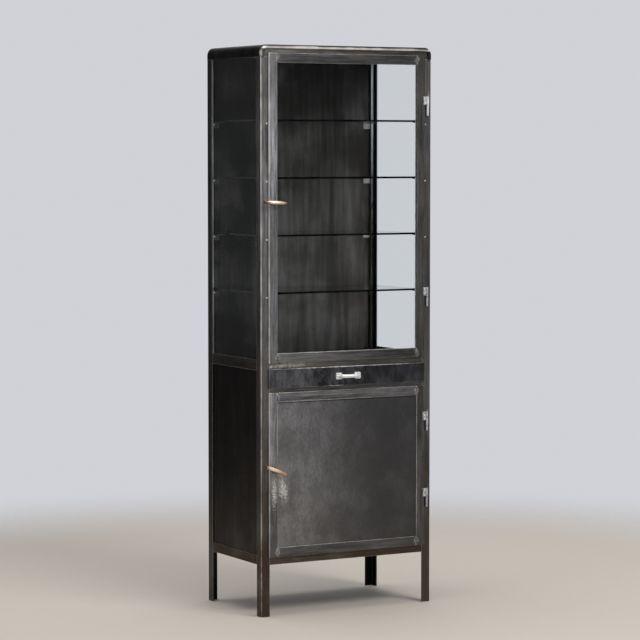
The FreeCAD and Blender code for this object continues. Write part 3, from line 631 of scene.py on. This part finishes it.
# The cap's pale cream worn colour is mostly a painted highlight along the nose.
CAP = SteelFinish(
    "cap_steel", Grain.ACROSS, (0.012, 0.011, 0.010), (0.055, 0.050, 0.044),
    patina=(0.035, 0.027, 0.020), worn=(1.0, 0.95, 0.89), edge=0.0012, edge_share=0.45, bare_metal=0.1)
LOCK_STILE = SteelFinish(
    "lock_stile_steel", Grain.UPRIGHT, (0.19, 0.188, 0.19), (0.93, 0.925, 0.935),
    patina=(0.18, 0.175, 0.17), worn=SILVER, edge=0.0018,
    fades=(Fade(Axis.Z, 1.34, 1.26, 0.72, (0.13, 0.127, 0.126)),
           Fade(Axis.Z, 1.54, 1.72, 0.68, (0.16, 0.158, 0.162))))
LOWER_LOCK_STILE = replace(
    LOCK_STILE, dark=(0.14, 0.138, 0.136), light=(0.70, 0.69, 0.685), patina=(0.14, 0.135, 0.13),
    fades=(Fade(Axis.Z, 0.66, 0.26, 0.90, (0.085, 0.082, 0.076)),))
HINGE_STILE = SteelFinish(
    "hinge_stile_steel", Grain.UPRIGHT, (0.065, 0.063, 0.061), (0.21, 0.205, 0.20),
    patina=(0.09, 0.075, 0.065), worn=CREAM, edge_share=0.6,
    fades=(Fade(Axis.Z, 1.62, 1.74, 0.6, (0.045, 0.042, 0.040)),))
# Painted shade: the door rails darken from left to right.
DOOR_RAIL = SteelFinish(
    "door_rail_steel", Grain.ACROSS, (0.085, 0.083, 0.080), (0.34, 0.335, 0.325),
    patina=(0.10, 0.09, 0.08), patina_share=0.4, worn=SILVER, edge=0.0022,
    fades=(Fade(Axis.X, -0.27, 0.25, 0.55, (0.047, 0.046, 0.044)),
           Fade(Axis.Z, 0.60, 0.20, 0.5, (0.082, 0.078, 0.075))))
TOP_RAIL = replace(DOOR_RAIL, dark=(0.06, 0.059, 0.057), light=(0.25, 0.246, 0.24))
LOWER_TOP_RAIL = replace(DOOR_RAIL, dark=(0.115, 0.112, 0.112), light=(0.52, 0.51, 0.51))
# Painted shade: the panel darkens from left to right, and a painted shadow lies in a thin dark band along its
# top edge under the rail.
PANEL = SteelFinish(
    "door_panel_steel", Grain.CLOUDED, (0.15, 0.147, 0.147), (0.49, 0.482, 0.48),
    patina=(0.12, 0.114, 0.11), worn=SILVER, edge_share=0.3, gloss=(0.38, 0.47),
    streak=170.0, contrast=0.5, speckle=0.16,
    fades=(Fade(Axis.Z, 0.42, 0.20, 0.35, (0.15, 0.138, 0.125)),
           Fade(Axis.X, -0.32, 0.15, 0.92, (0.063, 0.061, 0.061), clouds=0.08),
           Fade(Axis.Z, 0.6740, 0.6775, 0.85, (0.025, 0.024, 0.024))))
# Painted shade: the drawer front darkens from left to right.
DRAWER = SteelFinish(
    "drawer_steel", Grain.CLOUDED, (0.03, 0.03, 0.032), (0.24, 0.24, 0.26),
    patina=(0.03, 0.03, 0.032), patina_share=0.6, worn=SILVER, edge=0.0022, streak=60.0,
    fades=(Fade(Axis.X, -0.27, 0.25, 0.65, (0.017, 0.017, 0.018)),))
# Painted shade: the back sheet darkens towards the top under the cap, and towards its left side on its front
# face only.
BACK = SteelFinish(
    "back_sheet", Grain.UPRIGHT, (0.020, 0.0175, 0.0155), (0.225, 0.207, 0.195),
    patina=(0.036, 0.027, 0.022), edge_share=0.3, streak=60.0, contrast=0.6,
    fades=(Fade(Axis.Z, 1.00, 1.80, 0.90, (0.012, 0.011, 0.010)),
           Fade(Axis.X, -0.06, -0.17, 0.92, (0.009, 0.008, 0.0075), front_of=0.1957)))
SHEET = SteelFinish(
    "side_sheet", Grain.UPRIGHT, (0.014, 0.012, 0.010), (0.05, 0.043, 0.038),
    patina=(0.020, 0.014, 0.011), patina_share=0.4, edge_share=0.3, contrast=0.6)
# The pale blue worn colour of the bead steel also paints a reflection down the fronts of the rear beads.
BEAD = SteelFinish(
    "bead_steel", Grain.CLOUDED, (0.03, 0.027, 0.024), (0.09, 0.082, 0.075),
    worn=(0.90, 0.95, 1.0), edge_share=0.5, bare_metal=0.85)
# Painted light: a much lighter copy of the bead steel, so that the door's beads look lit where they stand in
# shade inside the door.
LIT_DOOR_BEAD = SteelFinish(
    "door_bead_steel", Grain.CLOUDED, (0.52, 0.52, 0.51), (0.86, 0.86, 0.84),
    patina=(0.30, 0.28, 0.26), patina_share=0.4, edge_share=0.4, metal=0.2)
HINGE = SteelFinish(
    "hinge_steel", Grain.CLOUDED, (0.07, 0.067, 0.063), (0.28, 0.27, 0.26),
    worn=(0.97, 0.965, 0.95), edge=0.0012, bare_metal=0.15)
WELD = SteelFinish(
    "weld_steel", Grain.CLOUDED, (0.05, 0.048, 0.045), (0.52, 0.51, 0.50), streak=420.0,
    patina=(0.05, 0.042, 0.035), patina_share=0.3, worn=SILVER, edge_share=0.3, metal=0.7)
# Painted highlight: the shelf clips at the rear right are painted bright silver down their whole height.
CLIP = PolishedFinish(
    "clip_steel", (0.05, 0.05, 0.048), (0.02, 0.02, 0.019), tarnish=0.6, gloss=(0.35, 0.55),
    metal=0.3, rubbed=SILVER,
    highlight_rubs=(ScarOrPaintedLight((0.282, 0.19, 1.25), (0.03, 0.04, ENDLESS), strength=1.0, raggedness=300.0, breaks=0.5),))
BRIGHT = PolishedFinish(
    "bright_steel", (0.88, 0.87, 0.84), (0.42, 0.40, 0.37), tarnish=0.4, gloss=(0.25, 0.5))
LATCH = PolishedFinish("latch_steel", (0.40, 0.38, 0.35), (0.14, 0.13, 0.12), tarnish=0.7, gloss=(0.30, 0.55))
COPPER = PolishedFinish("copper", (0.88, 0.53, 0.28), (0.13, 0.050, 0.020), tarnish=0.35, gloss=(0.20, 0.36))
OLD_COPPER = PolishedFinish(
    "old_copper", (0.22, 0.11, 0.055), (0.06, 0.035, 0.022), tarnish=0.7, gloss=(0.35, 0.55), metal=0.9)
NICKEL = PolishedFinish(
    "nickel", (0.97, 0.965, 0.95), (0.70, 0.69, 0.66), tarnish=0.3, gloss=(0.26, 0.42), metal=0.5)
PANE = GlassFinish("pane_glass", density=3.0)
SHELF = GlassFinish("shelf_glass", density=20.0, tint=(0.74, 0.95, 0.88), index=1.15)


class Workshop:
    """Makes each material once, and lays it on the pieces."""

    def __init__(self, frame: dict) -> None:
        """Opens the workshop for a loaded part."""
        self.frame = frame
        self.made: dict[str, bpy.types.Material] = {}

    def coat(self, piece: bpy.types.Object, finish: Finish) -> None:
        """Gives one piece its finish.

        Args:
            piece: The piece.
            finish: The finish.
        """
        if finish.name not in self.made:
            self.made[finish.name] = finish.material()
        piece.data.materials.clear()
        piece.data.materials.append(self.made[finish.name])
        LOG.info("%s: %s", piece.name, finish.name)


class Assembly:
    """A rigid group of the part: its nodes, and the pieces that are modelled on it."""

    def coats(self) -> dict[str, Finish]:
        """Returns the finish of each node."""
        return {}

    def build(self, shop: Workshop) -> None:
        """Models the group's own pieces, where it has any."""

    def dress(self, shop: Workshop) -> None:
        """Gives every node its finish."""
        for node, finish in self.coats().items():
            shop.coat(shop.frame["nodes"][node], finish)


@dataclass(frozen=True)
class HingeLine:
    """The upright line of the hinges, which the carcass and the doors share.

    Args:
        centre: Place of the barrels along X and Y.
        reach: Half sizes along X and Y of the rub and painted highlight on them.
        top: Height of the top hinge.
    """

    centre: Pair = (0.2955, -0.1785)
    reach: Pair = (0.0062, 0.009)
    top: float = 1.63

    def highlight_rubs(self, strength: float) -> tuple[ScarOrPaintedLight, ...]:
        """Returns the bright line down the barrels, worn metal with a painted highlight, as strong as given
        but full on the top hinge.
        """
        return (ScarOrPaintedLight((*self.centre, 1.0), (*self.reach, ENDLESS), strength, breaks=0.45),
                ScarOrPaintedLight((*self.centre, self.top), (*self.reach, 0.40), strength=1.0, breaks=0.2))


HINGES = HingeLine()


@dataclass
class Carcass(Assembly):
    """The fixed frame with its sheets, panes, shelves and runners.

    Args:
        half_width: Half of the width over the posts.
        front: Front face of the posts.
        back: Rear face of the posts.
        angle: Thickness of their angle iron.
        height: Overall height.
        nose: Diameter of the round nose along the front of the cap.
        bead: Where the side beads stand along X, and the rear ones along Y.
        shelves: Number of glass shelves.
    """

    half_width: float = 0.310
    front: float = -0.1708
    back: float = 0.1992
    angle: float = 0.003
    height: float = 1.800
    nose: float = 0.013
    bead: Pair = (0.299, 0.1845)
    shelves: int = 4

    def post_edge_wear_and_highlight(self) -> ScarOrPaintedLight:
        """Returns the bright line along the outer corner of the front left post: worn metal and a painted
        highlight.
        """
        return ScarOrPaintedLight((-self.half_width, self.front, 1.4), (0.0046, 0.005, 1.9), strength=0.95,
                    raggedness=16.0, breaks=0.4)

    def nose_highlights(self) -> tuple[ScarOrPaintedLight, ...]:
        """Returns the painted highlight along the lower half of the nose, and down its left corner."""
        lower_half = (-0.20, self.front - self.nose / 2, self.height - 0.72 * self.nose)
        corner = (-self.half_width, self.front, self.height - 2 * self.nose)
        return (ScarOrPaintedLight(lower_half, (1.10, 0.012, 0.0052), strength=1.0, raggedness=16.0, breaks=0.25),
                ScarOrPaintedLight(corner, (0.0045, 0.012, 0.02), strength=0.9, raggedness=16.0, breaks=0.3),
                ScarOrPaintedLight(corner, (0.018, 0.014, 0.03), strength=0.24, raggedness=30.0, breaks=0.3))

    def bead_reflections(self) -> tuple[ScarOrPaintedLight, ...]:
        """Returns the painted reflection on the fronts of the rear beads, the right one dull towards its
        foot.
        """
        across, back = self.bead
        right = ScarOrPaintedLight((across, back, 1.66), (0.014, 0.007, 0.44), strength=1.0, raggedness=12.0, breaks=0.3)
        left = replace(right, centre=(-across, back, 1.25), reach=(0.014, 0.007, ENDLESS), strength=0.4)
        return (left, right)

    def rear_post(self, side: Side) -> SteelFinish:
        """Returns the steel of a rear post, with painted shade, near black, on the inside of its angle.

        Args:
            side: Side of the post.

        Returns:
            The finish.
        """
        outer = side.value * self.half_width
        inner = outer - side.value * self.angle
        # Painted shade: the inside of the angle is painted near black.
        inside = Fade(Axis.X, (outer + inner) / 2, inner, 0.96, INSIDE_SHADE, clouds=0.0,
                      front_of=self.back - self.angle / 2)
        name = f"rear_{side.name.lower()}_post_steel"
        return replace(REAR_POST, name=name, fades=(*REAR_POST.fades, inside))

    def rail_rubs(self) -> tuple[ScarOrPaintedLight, ...]:
        """Returns the weld and the rubbed stretch at the left end of the rail under the vitrine."""
        return (ScarOrPaintedLight((-0.276, self.front, 0.7905), (0.012, 0.02, 0.007), 0.9, raggedness=170.0, breaks=0.5),
                ScarOrPaintedLight((-0.215, self.front, 0.7950), (0.100, 0.02, 0.014), 0.62, raggedness=120.0, breaks=0.7))

    def coats(self) -> dict[str, Finish]:
        """Returns the finish of each node."""
        coats: dict[str, Finish] = {
            "front_left_post": replace(LEFT_POST, scars_and_highlights=(self.post_edge_wear_and_highlight(),)), "front_right_post": RIGHT_POST,
            "rear_left_post": self.rear_post(Side.LEFT), "rear_right_post": self.rear_post(Side.RIGHT),
            "top_cap": replace(CAP, scars_and_highlights=self.nose_highlights()), "vitrine_floor": SHEET, "bottom_panel": SHEET,
            "upper_back_panel": BACK, "lower_back_panel": BACK,
            "side_glass_beads": replace(BEAD, scars_and_highlights=self.bead_reflections()), "shelf_clips": CLIP,
            "shelf_clip_screws": BRIGHT, "hinge_pins": replace(HINGE, scars_and_highlights=HINGES.highlight_rubs(0.55)),
            "middle_front_rail": replace(FRONT_RAIL, name="vitrine_rail_steel", scars_and_highlights=self.rail_rubs()),
        }
        for rail in ("top_front", "top_rear", "middle_rear", "drawer_front", "bottom_front", "bottom_rear"):
            coats[f"{rail}_rail"] = FRONT_RAIL
        for side in Side:
            name = side.name.lower()
            coats |= {f"{name}_{rail}_rail": SIDE_RAIL for rail in ("middle", "bottom")}
            coats |= {f"{name}_{sheet}": SHEET for sheet in ("lower_panel", "drawer_runner")}
            coats[f"{name}_side_glass"] = PANE
        coats |= {f"glass_shelf_{level + 1}": SHELF for level in range(self.shelves)}
        return coats


@dataclass
class WeldSeam:
    """Weld across a corner joint, ground down to a low lumpy ridge.

    Args:
        length: Length along the joint.
        width: Width across it.
        height: How far it stands proud of the face, before it is rounded.
        sunk: How far it reaches into the face.
        lumps: How uneven it is, as a share of its size.
        seed: Start of the unevenness.
        crease: Sharpest angle that is shaded smooth, in degrees.
    """

    length: float = 0.027
    width: float = 0.0085
    height: float = 0.0007
    sunk: float = 0.0002
    lumps: float = 0.22
    seed: int = 4
    crease: float = 60.0

    def model(self) -> bpy.types.Object:
        """Returns one seam that stands on the plane Y = 0 and faces the front."""
        bpy.ops.object.select_all(action="DESELECT")
        bpy.ops.mesh.primitive_ico_sphere_add(subdivisions=3, radius=1.0)
        seam = bpy.context.object
        bpy.ops.object.mode_set(mode="EDIT")
        bpy.ops.mesh.select_all(action="SELECT")
        bpy.ops.transform.vertex_random(offset=self.lumps, seed=self.seed)
        bpy.ops.mesh.bisect(plane_co=(0.0, self.sunk / self.height, 0.0), plane_no=(0.0, 1.0, 0.0),
                            use_fill=True, clear_outer=True)
        bpy.ops.mesh.select_all(action="SELECT")
        bpy.ops.transform.resize(value=(self.width / 2, self.height, self.length / 2),
                                 center_override=(0.0, 0.0, 0.0))
        bpy.ops.object.mode_set(mode="OBJECT")
        rounding = seam.modifiers.new("rounding", "SUBSURF")
        rounding.levels = rounding.render_levels = 1
        bpy.ops.object.modifier_apply(modifier=rounding.name)
        bpy.ops.object.shade_smooth_by_angle(angle=radians(self.crease))
        return seam

    @staticmethod
    def lay(pattern: bpy.types.Object, name: str, place: Point, turned: bool) -> bpy.types.Object:
        """Lays a copy of the seam on a joint.

        Args:
            pattern: The seam to copy.
            name: Name of the copy.
            place: Middle of the joint.
            turned: Whether the copy is turned end for end.

        Returns:
            The copy, with its place in its mesh.
        """
        seam = pattern.copy()
        seam.data = pattern.data.copy()
        seam.name = name
        bpy.context.scene.collection.objects.link(seam)
        bpy.ops.object.select_all(action="DESELECT")
        seam.select_set(True)
        bpy.context.view_layer.objects.active = seam
        seam.location = place
        seam.rotation_euler = (0.0, pi if turned else 0.0, 0.0)
        bpy.ops.object.transform_apply(location=True, rotation=True, scale=True)
        return seam


@dataclass
class Handle(Assembly):
    """A turn handle on its spindle, with the latch arm inside the door.

    Args:
        name: Which door it closes, upper or lower.
        level: Height of its axis.
        turn: Turn of the bar at rest, in degrees, with the right end down.
        axis: Place of its axis along X, and of the bar along Y.
        length: Length of the bar.
        thickness: Thickness of the bar.
        metal: Metallic value of the copper.
        rub: Middle of the rubbed stretch with its painted highlight, as a share of the way from the axis to
            the right end.
        left_tip_shade: Reach of the tarnish and painted shade from the left end, as a share of half the bar,
            and its strength.
        right_tip_shade: The same at the right end.
    """

    name: str
    level: float
    turn: float = 0.0
    axis: Pair = (-0.270, -0.1948)
    length: float = 0.080
    thickness: float = 0.013
    metal: float = 0.65
    rub: float = -0.25
    left_tip_shade: Pair = (0.70, 1.0)
    right_tip_shade: Pair = (0.26, 0.7)

    def mark(self, along: float, across: float, reach: Point, strength: float, breaks: float) -> ScarOrPaintedLight:
        """Returns a mark on the bar.

        Args:
            along: Place along the bar, from its axis towards its right end.
            across: Place across the bar, upwards.
            reach: Half sizes of the mark.
            strength: How much of it shows.
            breaks: How much its ragged border takes away.

        Returns:
            The mark.
        """
        lean = radians(self.turn)
        place = (self.axis[0] + along * cos(lean) + across * sin(lean), self.axis[1],
                 self.level - along * sin(lean) + across * cos(lean))
        return ScarOrPaintedLight(place, reach, strength, 140.0, breaks, self.turn)

    def finish(self) -> PolishedFinish:
        """Returns the copper of the bar: rubbed in its middle with a painted highlight, painted shade along
        its underside, and tarnish with painted shade at its ends.
        """
        end = self.length / 2
        thick = self.thickness
        wide = 3 * thick
        # Painted highlight on the rubbed middle, painted shade on the underside, and painted shade with
        # tarnish at the ends.
        rub = self.mark(self.rub * end, 0.1 * thick, (1.05 * end, wide, 0.55 * thick), 1.0, breaks=0.15)
        underside_shade = self.mark(0.0, -0.5 * thick, (1.5 * end, wide, 0.28 * thick), 0.9, breaks=0.2)
        tip_shades = (self.mark(place, 0.0, (reach * end, wide, wide), strength, breaks=0.1)
                for place, (reach, strength) in ((-end, self.left_tip_shade), (end, self.right_tip_shade)))
        return replace(COPPER, name=f"{self.name}_handle_copper", metal=self.metal, highlight_rubs=(rub,),
                       shade_stains=(*tip_shades, underside_shade))

    def coats(self) -> dict[str, Finish]:
        """Returns the finish of each node."""
        return {f"{self.name}_handle_bar": self.finish(), f"{self.name}_latch_spindle": LATCH,
                f"{self.name}_latch_arm": LATCH}


@dataclass
class Door(Assembly):
    """A door of two stiles and two rails with welded corners, and what fills it.

    Args:
        name: Which door, upper or lower.
        bottom: Lower edge.
        top: Upper edge.
        filling: Finish of what fills its frame.
        stile: Finish of the stile that carries the handle.
        top_rail: Finish of the top rail.
        scrape_level: Height of the scrape that an old latch has left, if any.
        edge_wear_and_highlight: How bright its free edge is, with worn metal and a painted highlight.
        half_width: Half of its width.
        member: Width of its stiles and rails.
        face: Front face.
        seam: Weld at its corners.
    """

    name: str
    bottom: float
    top: float
    filling: dict[str, Finish]
    stile: SteelFinish = LOCK_STILE
    top_rail: SteelFinish = TOP_RAIL
    scrape_level: float | None = None
    edge_wear_and_highlight: float = 0.85
    half_width: float = 0.285
    member: float = 0.030
    face: float = -0.1778
    seam: WeldSeam = field(default_factory=WeldSeam)

    def corner(self, side: Side, end: End) -> Point:
        """Returns the middle of the joint of a rail and a stile, on the face."""
        level = self.bottom + self.member / 2 if end is End.BOTTOM else self.top - self.member / 2
        return (side.value * (self.half_width - self.member), self.face, level)

    def blotch(self, side: Side, end: End) -> ScarOrPaintedLight:
        """Returns the ground patch round a weld."""
        return ScarOrPaintedLight(self.corner(side, end), (0.012, 0.02, 0.015), strength=0.6, raggedness=170.0)

    def outer_edge_wear_and_highlight(self) -> ScarOrPaintedLight:
        """Returns the bright line along the free edge: worn metal and a painted highlight."""
        return ScarOrPaintedLight((-self.half_width, self.face, 1.0), (0.0050, 0.010, ENDLESS), self.edge_wear_and_highlight,
                    raggedness=16.0, breaks=0.4)

    def leaf_rub(self) -> ScarOrPaintedLight:
        """Returns the bright rub on the leaves of the hinges."""
        return ScarOrPaintedLight((self.half_width, self.face, 1.0), (0.0095, 0.009, ENDLESS), strength=0.9,
                    raggedness=160.0, breaks=0.6)

    def scrape(self) -> tuple[ScarOrPaintedLight, ...]:
        """Returns the scrape under the handle, on the stile and beside it on the filling."""
        if self.scrape_level is None:
            return ()
        on_stile = (-0.2665, self.face, self.scrape_level - 0.006)
        beside = (-0.2345, self.face, self.scrape_level)
        return (ScarOrPaintedLight(on_stile, (0.0135, 0.02, 0.070), raggedness=190.0, breaks=0.65),
                ScarOrPaintedLight(beside, (0.024, 0.02, 0.058), raggedness=190.0, breaks=0.75, turn=-8.0))

    def inner_edges(self) -> dict[Side | End, tuple[ScarOrPaintedLight, ...]]:
        """Returns the bright lines where the frame of a panelled door meets its panel."""
        if self.scrape_level is None:
            return {part: () for part in (*Side, *End)}
        inner = self.half_width - self.member
        middle = (self.bottom + self.top) / 2
        left = ScarOrPaintedLight((-inner, self.face, self.top - 0.09), (0.0030, 0.010, 0.16), strength=0.7,
                    raggedness=60.0, breaks=0.5)
        right = replace(left, centre=(inner, self.face, middle), reach=(0.0034, 0.010, 0.60), strength=0.55)
        top = replace(right, centre=(-0.12, self.face, self.top - self.member), reach=(0.30, 0.010, 0.0032))
        return {Side.LEFT: (left,), Side.RIGHT: (right,), End.TOP: (top,), End.BOTTOM: ()}

    def build(self, shop: Workshop) -> None:
        """Models the four corner welds.

        Args:
            shop: The workshop.
        """
        pattern = self.seam.model()
        for side in Side:
            for end in End:
                name = f"{self.name}_door_weld_{side.name.lower()}_{end.value}"
                turned = (side is Side.LEFT) == (end is End.TOP)
                weld = self.seam.lay(pattern, name, self.corner(side, end), turned)
                shop.coat(weld, WELD)
                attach(weld, f"{self.name}_door")
        bpy.data.objects.remove(pattern)

    def coats(self) -> dict[str, Finish]:
        """Returns the finish of each node."""
        lines = self.inner_edges()
        left, right = (tuple(self.blotch(side, end) for end in End) for side in Side)
        stile = replace(self.stile, name=f"{self.name}_lock_stile_steel",
                        scars_and_highlights=(self.outer_edge_wear_and_highlight(), *self.scrape(), *left, *lines[Side.LEFT]))
        hinge_stile = replace(HINGE_STILE, name=f"{self.name}_hinge_stile_steel",
                              scars_and_highlights=(*right, *lines[Side.RIGHT]))
        knuckles = replace(HINGE, name="knuckle_steel", scars_and_highlights=(*HINGES.highlight_rubs(0.75), self.leaf_rub()))
        coats = {node: replace(finish, scars_and_highlights=self.scrape()) if finish is PANEL else finish
                 for node, finish in self.filling.items()}
        coats |= {f"{self.name}_lock_stile": stile, f"{self.name}_hinge_stile": hinge_stile,
                  f"{self.name}_hinge_knuckles": knuckles, f"{self.name}_handle_bush": OLD_COPPER}
        for end in End:
            steel = self.top_rail if end is End.TOP else DOOR_RAIL
            welds = (self.blotch(side, end) for side in Side)
            coats[f"{self.name}_door_{end.value}_rail"] = replace(
                steel, name=f"{self.name}_{end.value}_rail_steel", scars_and_highlights=(*welds, *lines[end]))
        return coats


@dataclass
class Drawer(Assembly):
    """The drawer with its pull.

    Args:
        bottom: Lower edge of its front.
        top: Upper edge of its front.
        face: Front face.
    """

    bottom: float = 0.723
    top: float = 0.784
    face: float = -0.1778

    def edge_wear_and_highlight_lines(self) -> tuple[ScarOrPaintedLight, ...]:
        """Returns the bright lines along the upper edge and part of the lower one: worn metal and a painted
        highlight.
        """
        return (ScarOrPaintedLight((-0.063, self.face, self.bottom), (0.080, 0.02, 0.0026), strength=1.0, raggedness=60.0),
                ScarOrPaintedLight((0.02, self.face, self.top), (0.32, 0.02, 0.0026), 1.0, raggedness=60.0, breaks=0.6))

    def coats(self) -> dict[str, Finish]:
        """Returns the finish of each node."""
        return {"drawer_front": replace(DRAWER, scars_and_highlights=self.edge_wear_and_highlight_lines()), "drawer_tray": SHEET,
                "drawer_pull": NICKEL, "drawer_pull_screws": NICKEL}


@dataclass
class Studio:
    """Floor, lamps, pale surroundings and camera.

    Args:
        eye: Place of the camera.
        yaw: Turn of its view from +Y to +X, in degrees.
        pitch: Tilt of its view down, in degrees.
        lens: Focal length in millimetres.
        sensor: Width of the square frame in millimetres.
        sight: Farthest distance that the camera sees, in metres.
        background: Colour of the surroundings.
        fill: Strength of the even light that falls on matt surfaces.
        mirrored: Strength of what mirrors see, from one side of the room to the other.
        radius: Radius of the floor.
        rim: Width of its rim.
    """

    eye: Point = (-4.1007, -7.3851, 1.4746)
    yaw: float = 29.02
    pitch: float = 3.75
    lens: float = 146.73
    sensor: float = 36.0
    sight: float = 100.0
    background: Colour = (0.63, 0.64, 0.68)
    fill: float = 0.55
    mirrored: tuple[Pair, ...] = ((0.0, 0.42), (0.12, 0.45), (0.30, 1.0), (0.76, 1.0), (0.90, 0.12),
                                  (1.0, 0.08))
    radius: float = 3.2
    rim: float = 1.2

    def heading(self) -> Vector:
        """Returns the level direction in which the camera looks."""
        return Vector((sin(radians(self.yaw)), cos(radians(self.yaw)), 0.0))

    def build(self) -> None:
        """Builds the whole studio."""
        self.floor()
        self.lamp("key", place=(0.9, -3.6, 4.3), aim=(0.0, 0.0, 1.0), size=(2.4, 2.0), power=130.0)
        self.lamp("overhead", place=(-0.4, 0.2, 4.4), aim=(0.0, 0.0, 0.0), size=(3.0, 3.0), power=90.0)
        self.surroundings()
        self.camera()

    def floor(self) -> None:
        """Builds the floor, a disc with a fine rim."""
        bpy.ops.object.select_all(action="DESELECT")
        bpy.ops.mesh.primitive_circle_add(vertices=96, radius=self.radius, fill_type="NGON")
        floor = bpy.context.object
        floor.name = "floor"
        bpy.ops.object.mode_set(mode="EDIT")
        bpy.ops.mesh.inset(thickness=self.rim)
        bpy.ops.object.mode_set(mode="OBJECT")
        floor.data.materials.append(FloorFinish().material())

    def lamp(self, name: str, place: Point, aim: Point, size: Pair, power: float) -> None:
        """Adds one soft rectangular lamp.

        Args:
            name: Name of the lamp.
            place: Where it hangs.
            aim: Point that it faces.
            size: Width and height in metres.
            power: Power in watts.
        """
        data = bpy.data.lights.new(name, "AREA")
        data.shape = "RECTANGLE"
        data.size, data.size_y = size
        data.energy = power
        lamp = bpy.data.objects.new(name, data)
        lamp.location = place
        lamp.rotation_euler = (Vector(aim) - Vector(place)).to_track_quat("-Z", "Y").to_euler()
        bpy.context.scene.collection.objects.link(lamp)

    def surroundings(self) -> None:
        """Makes the pale surroundings, dimmer to the two sides where the panes would mirror them."""
        world = bpy.data.worlds.new("studio")
        bpy.context.scene.world = world
        world.use_nodes = True
        tree = Tree(world.node_tree)
        heading = self.heading()
        room = tree.add("TexCoord").outputs["Generated"]
        side = tree.vectors("DOT_PRODUCT", room, (-heading.x, heading.y, 0.0)).outputs["Value"]
        ramp = tree.add("MapRange", {"Value": side, "From Min": -1.0})
        dimmed = tree.add("FloatCurve", {"Value": ramp.outputs["Result"]})
        curve = dimmed.mapping.curves[0]
        curve.points[0].location, *between, curve.points[1].location = self.mirrored
        for place, level in between:
            curve.points.new(place, level)
        dimmed.mapping.update()
        path = tree.add("LightPath").outputs
        seen = tree.add("Math", {0: path["Is Camera Ray"], 1: path["Is Transmission Ray"]})
        seen.operation = "MAXIMUM"
        mirrored = tree.add("Mix", {"Factor": path["Is Glossy Ray"], "A": self.fill,
                                    "B": dimmed.outputs["Value"]})
        strength = tree.add("Mix", {"Factor": seen.outputs["Value"], "A": mirrored.outputs["Result"],
                                    "B": 1.0})
        background = tree.tree.nodes["Background"]
        tree.feed(background.inputs["Color"], self.background)
        tree.feed(background.inputs["Strength"], strength.outputs["Result"])

    def camera(self) -> None:
        """Sets the camera at the angle of the photograph."""
        data = bpy.data.cameras.new("camera")
        data.lens = self.lens
        data.sensor_width = self.sensor
        data.clip_end = self.sight
        camera = bpy.data.objects.new("camera", data)
        camera.location = self.eye
        view = self.heading() * cos(radians(self.pitch)) - Vector((0.0, 0.0, sin(radians(self.pitch))))
        camera.rotation_euler = view.to_track_quat("-Z", "Y").to_euler()
        bpy.context.scene.collection.objects.link(camera)
        bpy.context.scene.camera = camera


def main() -> None:
    """Loads the part, builds and dresses its sub-assemblies and sets the studio."""
    logging.basicConfig(level=logging.INFO, format="%(message)s")
    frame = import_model()
    shop = Workshop(frame)
    upper_door = Door("upper", bottom=0.803, top=1.774,
                      filling={"upper_door_glass": PANE, "upper_door_beads": LIT_DOOR_BEAD})
    lower_door = Door("lower", bottom=0.189, top=0.7095, filling={"lower_door_panel": PANEL},
                      stile=LOWER_LOCK_STILE, top_rail=LOWER_TOP_RAIL, scrape_level=0.402, edge_wear_and_highlight=0.6)
    upper_handle = Handle("upper", level=1.307)
    lower_handle = Handle("lower", level=0.466, turn=21.0, metal=0.35, rub=-0.55, left_tip_shade=(0.42, 1.0),
                          right_tip_shade=(0.80, 0.4))
    for assembly in (Carcass(), upper_door, upper_handle, lower_door, lower_handle, Drawer()):
        assembly.build(shop)
        assembly.dress(shop)
    Studio().build()
    bpy.context.scene.view_settings.view_transform = "Standard"


if __name__ == "__main__":
    main()
